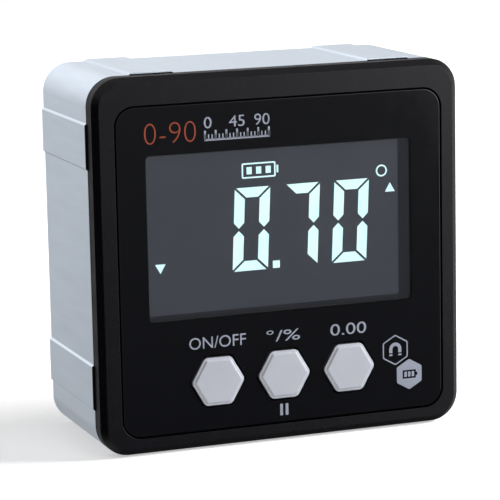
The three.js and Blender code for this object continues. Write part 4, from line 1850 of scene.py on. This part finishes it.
@dataclass
class Keypad:
    """Three push buttons with the seal and the switches behind them.

    The crown and the foot are the soft upper and lower edge of a key's bevel. They give how far
    each point lies inside and behind that edge, as shares of the easing.
    """

    flats: float = 7.55
    corner: float = 0.6
    edge: float = 0.12
    face_inset: float = 0.3
    face_rise: float = 0.24
    face_bevel: float = 0.26
    easing: float = 0.05
    crown: tuple[Place, ...] = ((1, 0), (0, 1 / 6), (-1, 1))
    foot: tuple[Place, ...] = ((1, -1 / 2), (-1, 0))
    flange_flats: float = 8.83
    flange: float = 0.8
    stem: float = 1.5
    stem_reach: float = 2.6
    crease: float = 40

    def section(self, front: float, flange_back: float, back: float) -> list[tuple[Outline, float]]:
        """Lists the outlines of a key from its raised face to the end of its stem.

        Args:
            front: depth of the raised face.
            flange_back: depth of the back of the flange.
            back: depth of the end of the stem.

        Returns:
            The outlines with their depths.
        """
        ledge = front + self.face_rise
        top = self.face_inset + self.face_bevel
        ease = self.easing
        profile = [(top + ease * out, front + ease * deep) for out, deep in self.crown]
        profile += [(self.face_inset + ease * out, ledge + ease * deep) for out, deep in self.foot]
        profile += eased(ledge, flange_back - self.flange, self.edge, 0)[:-1]
        loops = []
        for inset, depth in profile:
            corner = max(self.corner - inset, self.easing)
            loops.append((rounded_hexagon(self.flats - 2 * inset, corner), depth))
        loops.append((rounded_hexagon(self.flats, self.corner), flange_back - self.flange))
        wide = rounded_hexagon(self.flange_flats, self.corner)
        loops += [(wide, flange_back - self.flange), (wide, flange_back)]
        stem = [tuple(Vector(point).normalized() * self.stem) for point in wide]
        loops += [(stem, flange_back), (stem, back)]
        return loops

    def key(self, name: str) -> Object:
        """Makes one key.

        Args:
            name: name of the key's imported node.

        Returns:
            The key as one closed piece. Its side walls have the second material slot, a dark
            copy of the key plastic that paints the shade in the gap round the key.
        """
        node = span(name)
        shell = Shell()
        shell.skin([
            shell.loop([(x + node.x, z + node.z) for x, z in outline], depth)
            for outline, depth in self.section(node.front, node.back - self.stem_reach, node.back)
        ])
        piece = shade(shell.build(f"{name}_cap"), self.crease)
        # Faces behind the rounded edge, down in the gap round the key, get the painted shade.
        rounded = node.front + self.face_rise + self.edge
        for face in piece.data.polygons:
            if face.center.y / MM - FACE > rounded:
                face.material_index = 1
        return piece

    def build(self) -> None:
        """Builds and dresses the sub-assembly."""
        for name in KEYS:
            button = f"{name}_button"
            dress(self.key(button), [KEY_PLASTIC, KEY_WALL_SHADE], Body(f"{name}_key"), button)
            coat(WHITE_PLASTIC, f"{name}_plunger")
            coat(CHIP, f"{name}_switch")
        coat(RUBBER, "button_seal")


class Electronics:
    """The board, its chips and screws, the cell and the leads."""

    def build(self) -> None:
        """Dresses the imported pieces, which the closed case hides."""
        coat(BOARD, "main_board", "charge_board")
        coat(CHIP, "processor_chip", "angle_sensor")
        coat(FOAM, "battery_pad", "lcd_connector")
        coat(FOIL, "battery_cell")
        coat(LEAD, "battery_lead", "charge_lead")
        coat(MILKY, "backlight_plate")
        coat(WHITE_PLASTIC, "lcd_bracket")
        coat(SCREW, *(f"board_screw_{number}" for number in SCREW_NUMBERS))


@dataclass
class RearCover:
    """The back cover with its gasket and screws, the charging socket and its flap.

    The head's profile gives radii and heights as shares of those of a screw's head.
    """

    outer: Outer
    inset: float = 1.8
    chamfer: float = 0.3
    edge: float = 0.1
    plate_front: float = 24.18
    rim: float = 1
    rim_gap: float = 0.2
    rim_reach: float = 1.4
    rail: float = 2
    rail_height: float = 5
    gap: float = 0.2
    mouth_gap: float = 0.34
    leaf: float = 1
    leaf_edge: float = 0.22
    flap_corner: float = 1.6
    plug_edge: float = 0.15
    notch: float = 2.2
    pillar: float = 2.74
    head: float = 2.1
    head_height: float = 1
    head_profile: tuple[Place, ...] = ((1, 0), (1, 0.5), (0.97, 0.72), (0.91, 0.9), (0.84, 1))
    shank: float = 1.15
    screw_turns: tuple[float, ...] = (0.3, -0.5, 0.9, 0.1)
    screw_crease: float = 40
    cross_share: float = 0.62
    cross_width_share: float = 0.16
    cross_depth_share: float = 0.6
    cross_corner_share: float = 0.25
    round_steps: int = 40
    socket_wall: float = 0.3
    socket_edge: float = 0.06
    socket_corner: float = 1.45
    socket_floor: float = 1
    tongue_width: float = 6.6
    tongue: float = 0.7
    tongue_length: float = 5
    tongue_corner_share: float = 1 / 6
    tongue_edge_share: float = 1 / 12
    contacts: int = 12
    contact_pitch: float = 0.5
    contact_height: float = 0.06
    contact_corner: float = 0.02
    contact_start: float = 0.3
    contact_end: float = 0.4

    def __post_init__(self) -> None:
        """Reads the places of the cover's fittings from the frame."""
        self.cover = span("back_cover")
        self.socket = span("charging_socket")
        self.flap = span("port_flap")
        self.screw_nodes = [f"back_screw_{number}" for number in SCREW_NUMBERS]
        self.screws = [span(node) for node in self.screw_nodes]

    def shell(self) -> Object:
        """Moulds the cover with its rim, its rails and all its openings.

        Returns:
            The cover.
        """
        front, back = self.plate_front, self.cover.back
        section = [
            (self.inset, front),
            (self.inset, back - self.chamfer),
            (self.inset + self.chamfer, back),
        ]
        piece = loft("back_cover_shell", self.outer.rule, section)
        rim_front = front - self.rim_reach
        rim, hollow = (self.outer.cavity(self.rim_gap + wall) for wall in (0, self.rim))
        work(piece, Way.JOIN, pierced(rim, hollow, rim_front, front + OVERLAP))
        board = span("charge_board")
        rails = [
            rounded_rectangle(self.rail, self.rail_height, MM, side * board.width / 2, board.z, steps=1)
            for side in (-1, 1)
        ]
        work(piece, Way.JOIN, *(prism(rail, self.cover.front, front + OVERLAP) for rail in rails))
        flap, socket, gap = self.flap, self.socket, self.gap
        recess = around(flap, gap, self.flap_corner + gap)
        notch = circle(self.notch, flap.x, flap.bottom - gap)
        mouth = around(socket, self.mouth_gap, socket.height / 2)
        for outline, start, end in (
            (around(board, gap, MM, steps=1), self.cover.front - OVER, front),
            (recess, back - self.leaf - gap, back + OVER),
            (notch, back - self.leaf / 2, back + OVER),
            (mouth, front - OVER, back + OVER),
        ):
            work(piece, Way.CUT, prism(outline, start, end))
        for radius, start, end in (
            (self.pillar, rim_front - OVER, front),
            (self.shank + gap / 2, front - OVER, back + OVER),
            (self.head + gap, back - self.head_height - gap, back + OVER),
        ):
            rounds = [circle(radius, screw.x, screw.z, self.round_steps) for screw in self.screws]
            work(piece, Way.CUT, *(prism(outline, start, end) for outline in rounds))
        return shade(soften(piece, self.edge))

    def cross(self, piece: Object, place: Span) -> None:
        """Cuts the cross slot in the head of a screw.

        Args:
            piece: the screw.
            place: box of the screw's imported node.
        """
        reach = 2 * self.head * self.cross_share
        thin = 2 * self.head * self.cross_width_share
        floor = place.back - self.head_height * self.cross_depth_share
        for width, height in ((reach, thin), (thin, reach)):
            corner = thin * self.cross_corner_share
            bar = rounded_rectangle(width, height, corner, place.x, place.z, steps=3)
            work(piece, Way.CUT, prism(bar, floor, place.back + OVER))

    def screw(self) -> Object:
        """Turns one back screw with a cross slot.

        Returns:
            The screw, the middle of its tip at the origin for copying.
        """
        first = self.screws[0]
        seat, tip = first.back - self.head_height, self.shank / 2
        profile = [(tip, first.front), (self.shank, first.front + tip), (self.shank, seat)]
        profile += [(self.head * wide, seat + self.head_height * deep) for wide, deep in self.head_profile]
        shell = Shell()
        shell.skin([
            shell.loop(circle(radius, first.x, first.z, self.round_steps), depth)
            for radius, depth in profile
        ])
        piece = shell.build("back_screw")
        self.cross(piece, first)
        shade(soften(piece, self.edge / 2, angle=self.screw_crease))
        return centred(piece, (first.x, first.front, first.z))

    def screw_set(self) -> Object:
        """Sets the back screws in their counterbores, each turned by its own angle.

        Returns:
            The four screws in one mesh.
        """
        copy = self.screw()
        places = [(screw.x, screw.front, screw.z) for screw in self.screws]
        points = points_object(places, self.screw_turns)
        made = repeat_tree().run(points, piece=copy, finish=SCREW.material())
        bpy.data.objects.remove(copy)
        made.name = "back_screws"
        return made

    def socket_shell(self) -> Object:
        """Draws the socket's shell, open to the back.

        Returns:
            The shell.
        """
        socket, wall = self.socket, self.socket_wall
        piece = prism(around(socket, 0, self.socket_corner), socket.front, socket.back)
        bore = around(socket, -wall, self.socket_corner - wall)
        work(piece, Way.CUT, prism(bore, socket.front + self.socket_floor, socket.back + OVER))
        shade(soften(piece, self.socket_edge))
        piece.name = "socket_shell"
        return piece

    def tongue_piece(self) -> Object:
        """Makes the dark tongue in the socket.

        Returns:
            The tongue.
        """
        root = self.socket.front + self.socket_floor
        corner = self.tongue * self.tongue_corner_share
        outline = rounded_rectangle(
            self.tongue_width, self.tongue, corner, self.socket.x, self.socket.z, steps=3)
        piece = prism(outline, root, root + self.tongue_length, "socket_tongue")
        return shade(soften(piece, self.tongue * self.tongue_edge_share))

    def contact_rows(self) -> Object:
        """Lays two rows of contacts on the tongue.

        Returns:
            The contacts in one mesh.
        """
        pitch = self.contact_pitch
        root = self.socket.front + self.socket_floor
        left = self.socket.x - (self.contacts - 1) * pitch / 2
        rows = []
        for side in (-1, 1):
            level = self.socket.z + side * self.tongue / 2
            strip = rounded_rectangle(
                pitch / 2, self.contact_height, self.contact_corner, left, level, steps=2)
            end = root + self.tongue_length - self.contact_end
            bar = prism(strip, root + self.contact_start, end)
            rows.append(row_tree().run(
                bar, count=self.contacts, step=(pitch * MM, 0, 0), finish=GOLD.material()))
        return shade(join_meshes(rows, "socket_contacts"))

    def flap_piece(self) -> Object:
        """Moulds the rubber flap with its plug.

        Returns:
            The flap.
        """
        flap, socket = self.flap, self.socket
        leaf = flap.back - self.leaf
        sides = eased(leaf, flap.back, self.edge, self.leaf_edge)
        piece = loft("port_flap_leaf", lambda inset: around(flap, -inset, self.flap_corner - inset), sides)
        slack = self.socket_wall + self.gap
        corner = socket.height / 2 - slack - self.gap
        plug = loft(
            "plug",
            lambda inset: around(socket, -slack - inset, corner - inset),
            eased(flap.front, leaf + OVERLAP, self.plug_edge, 0),
        )
        work(piece, Way.JOIN, plug)
        return shade(piece)

    def build(self) -> None:
        """Builds and dresses the sub-assembly."""
        dress(self.shell(), [COVER_PLASTIC], Body.CASE, "back_cover")
        dress(self.screw_set(), [SCREW], Body.CASE, *self.screw_nodes)
        dress(self.socket_shell(), [PLATED], Body.CASE, "charging_socket")
        dress(self.tongue_piece(), [CHIP], Body.CASE)
        dress(self.contact_rows(), [GOLD], Body.CASE)
        dress(self.flap_piece(), [RUBBER], Body.FLAP, "port_flap")
        coat(RUBBER, "rear_gasket")


@dataclass(frozen=True)
class Glow:
    """A soft bright or dark part of the room, as metal and gloss see it.

    The brightness runs from low to high as the cosine of the angle to the direction runs from
    start to end.
    """

    direction: Point
    start: float
    low: float
    high: float
    end: float = 1


@dataclass(frozen=True)
class Lamp:
    """A square lamp that faces the gauge, with its place in metres and its power in watts."""

    name: str
    place: Point
    power: float


@dataclass
class Studio:
    """The pale floor, the soft lamps, the surroundings and the camera."""

    lens: float = 186.02
    aim: Point = (-0.39, 0.35, 28.22)
    distance: float = 411.8
    azimuth: float = 20.6
    elevation: float = 10.302
    roll: float = -1.15
    floor_size: float = 8
    floor_white: float = 0.95
    floor_lift: float = 0.45
    floor_roughness: float = 0.9
    floor_specular: float = 0.1
    ambient: float = 0.28
    glows: tuple[Glow, ...] = (
        Glow((-0.3, 1.4, 1.179), 0.538, 0, 0.857),
        Glow((0.25, -0.8, -0.55), 0.75, 0.5, 0.03, 0.965),
        Glow((-0.92, -0.34, -0.18), 0.7, 0, -0.485, 0.95),
        Glow((0.345, 0.175, -0.922), 0.7, 0, -0.42, 0.95),
        Glow((0.74, -0.64, 0.2), 0.86, 0, 8.2),
    )
    lamps: tuple[Lamp, ...] = (
        Lamp("key", (0.95, -0.25, 0.55), 18),
        Lamp("fill", (0.2, -0.9, 0.5), 1.5),
    )
    lamp_size: float = 0.45

    def camera(self) -> None:
        """Sets up the camera at the angle of the photograph."""
        data = bpy.data.cameras.new("camera")
        data.lens = self.lens
        eye = linked("camera", data)
        turn = (
            Matrix.Rotation(math.radians(-self.azimuth), 4, "Z")
            @ Matrix.Rotation(math.radians(90 - self.elevation), 4, "X")
            @ Matrix.Rotation(math.radians(self.roll), 4, "Z")
        )
        place = (Vector(self.aim) + turn @ Vector((0, 0, 1)) * self.distance) * MM
        eye.matrix_world = Matrix.Translation(place) @ turn
        bpy.context.scene.camera = eye

    def floor(self) -> None:
        """Lays the plain pale floor, which metal and gloss don't see."""
        half = self.floor_size / 2
        mesh = bpy.data.meshes.new("floor")
        mesh.from_pydata([(x, z, 0) for x, z in four_places(half, -half)], [], [(0, 1, 2, 3)])
        floor = linked("floor", mesh)
        surface = Surface("floor_white")
        rays = surface.add("ShaderNodeLightPath").outputs
        surface.paint(
            Base_Color=(self.floor_white,) * 3 + (1,),
            Roughness=self.floor_roughness,
            Specular_IOR_Level=self.floor_specular,
            Emission_Color=(1, 1, 1, 1),
            Emission_Strength=surface.math("MULTIPLY", rays["Is Camera Ray"], self.floor_lift),
        )
        mesh.materials.append(surface.material)
        floor.visible_glossy = False
        floor.visible_transmission = False

    def hang(self, lamp: Lamp) -> None:
        """Hangs one lamp, which metal and gloss don't see.

        Args:
            lamp: the lamp.
        """
        data = bpy.data.lights.new(lamp.name, "AREA")
        data.energy = lamp.power
        data.size = self.lamp_size
        hung = linked(lamp.name, data)
        way = Vector(self.aim) * MM - Vector(lamp.place)
        hung.location = lamp.place
        hung.rotation_euler = way.to_track_quat("-Z", "Y").to_euler()
        hung.visible_glossy = False

    def surroundings(self) -> None:
        """Makes a world that is white to the camera and a soft room to the gauge."""
        world = bpy.data.worlds.new("room")
        bpy.context.scene.world = world
        world.use_nodes = True
        graph = Graph(world.node_tree)
        rays = graph.add("ShaderNodeLightPath").outputs
        way = graph.add("ShaderNodeTexCoord").outputs["Generated"]
        total = 0.0
        for glow in self.glows:
            slope = graph.add("ShaderNodeVectorMath", {"operation": "DOT_PRODUCT"})
            graph.feed(slope.inputs[0], way)
            graph.feed(slope.inputs[1], Vector(glow.direction).normalized())
            bright = graph.add(
                "ShaderNodeMapRange",
                Value=slope.outputs["Value"],
                From_Min=glow.start,
                From_Max=glow.end,
                To_Min=glow.low,
                To_Max=glow.high,
            )
            total = graph.math("ADD", total, bright.outputs[0])
        shiny = graph.math("MAXIMUM", rays["Is Glossy Ray"], rays["Is Transmission Ray"])
        seen = graph.add("ShaderNodeMix", Factor=shiny, A=self.ambient, B=total).outputs[0]
        strength = graph.math("MAXIMUM", seen, rays["Is Camera Ray"])
        graph.supply(graph.nodes["Background"], Color=(1, 1, 1, 1), Strength=strength)

    def build(self) -> None:
        """Sets up the whole studio."""
        bpy.context.scene.view_settings.view_transform = "Standard"
        self.camera()
        self.floor()
        for lamp in self.lamps:
            self.hang(lamp)
        self.surroundings()
        LOG.info("studio: camera at %s", tuple(bpy.context.scene.camera.location))


def main() -> None:
    """Builds the gauge one sub-assembly after the other, then the studio."""
    logging.basicConfig(level=logging.INFO, format="%(message)s")
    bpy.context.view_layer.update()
    outer = Outer()
    MetalBody(outer).build()
    FrontPlate(outer).build()
    Display().build()
    Legends().build()
    Keypad().build()
    Electronics().build()
    RearCover(outer).build()
    Studio().build()


if __name__ == "__main__":
    main()
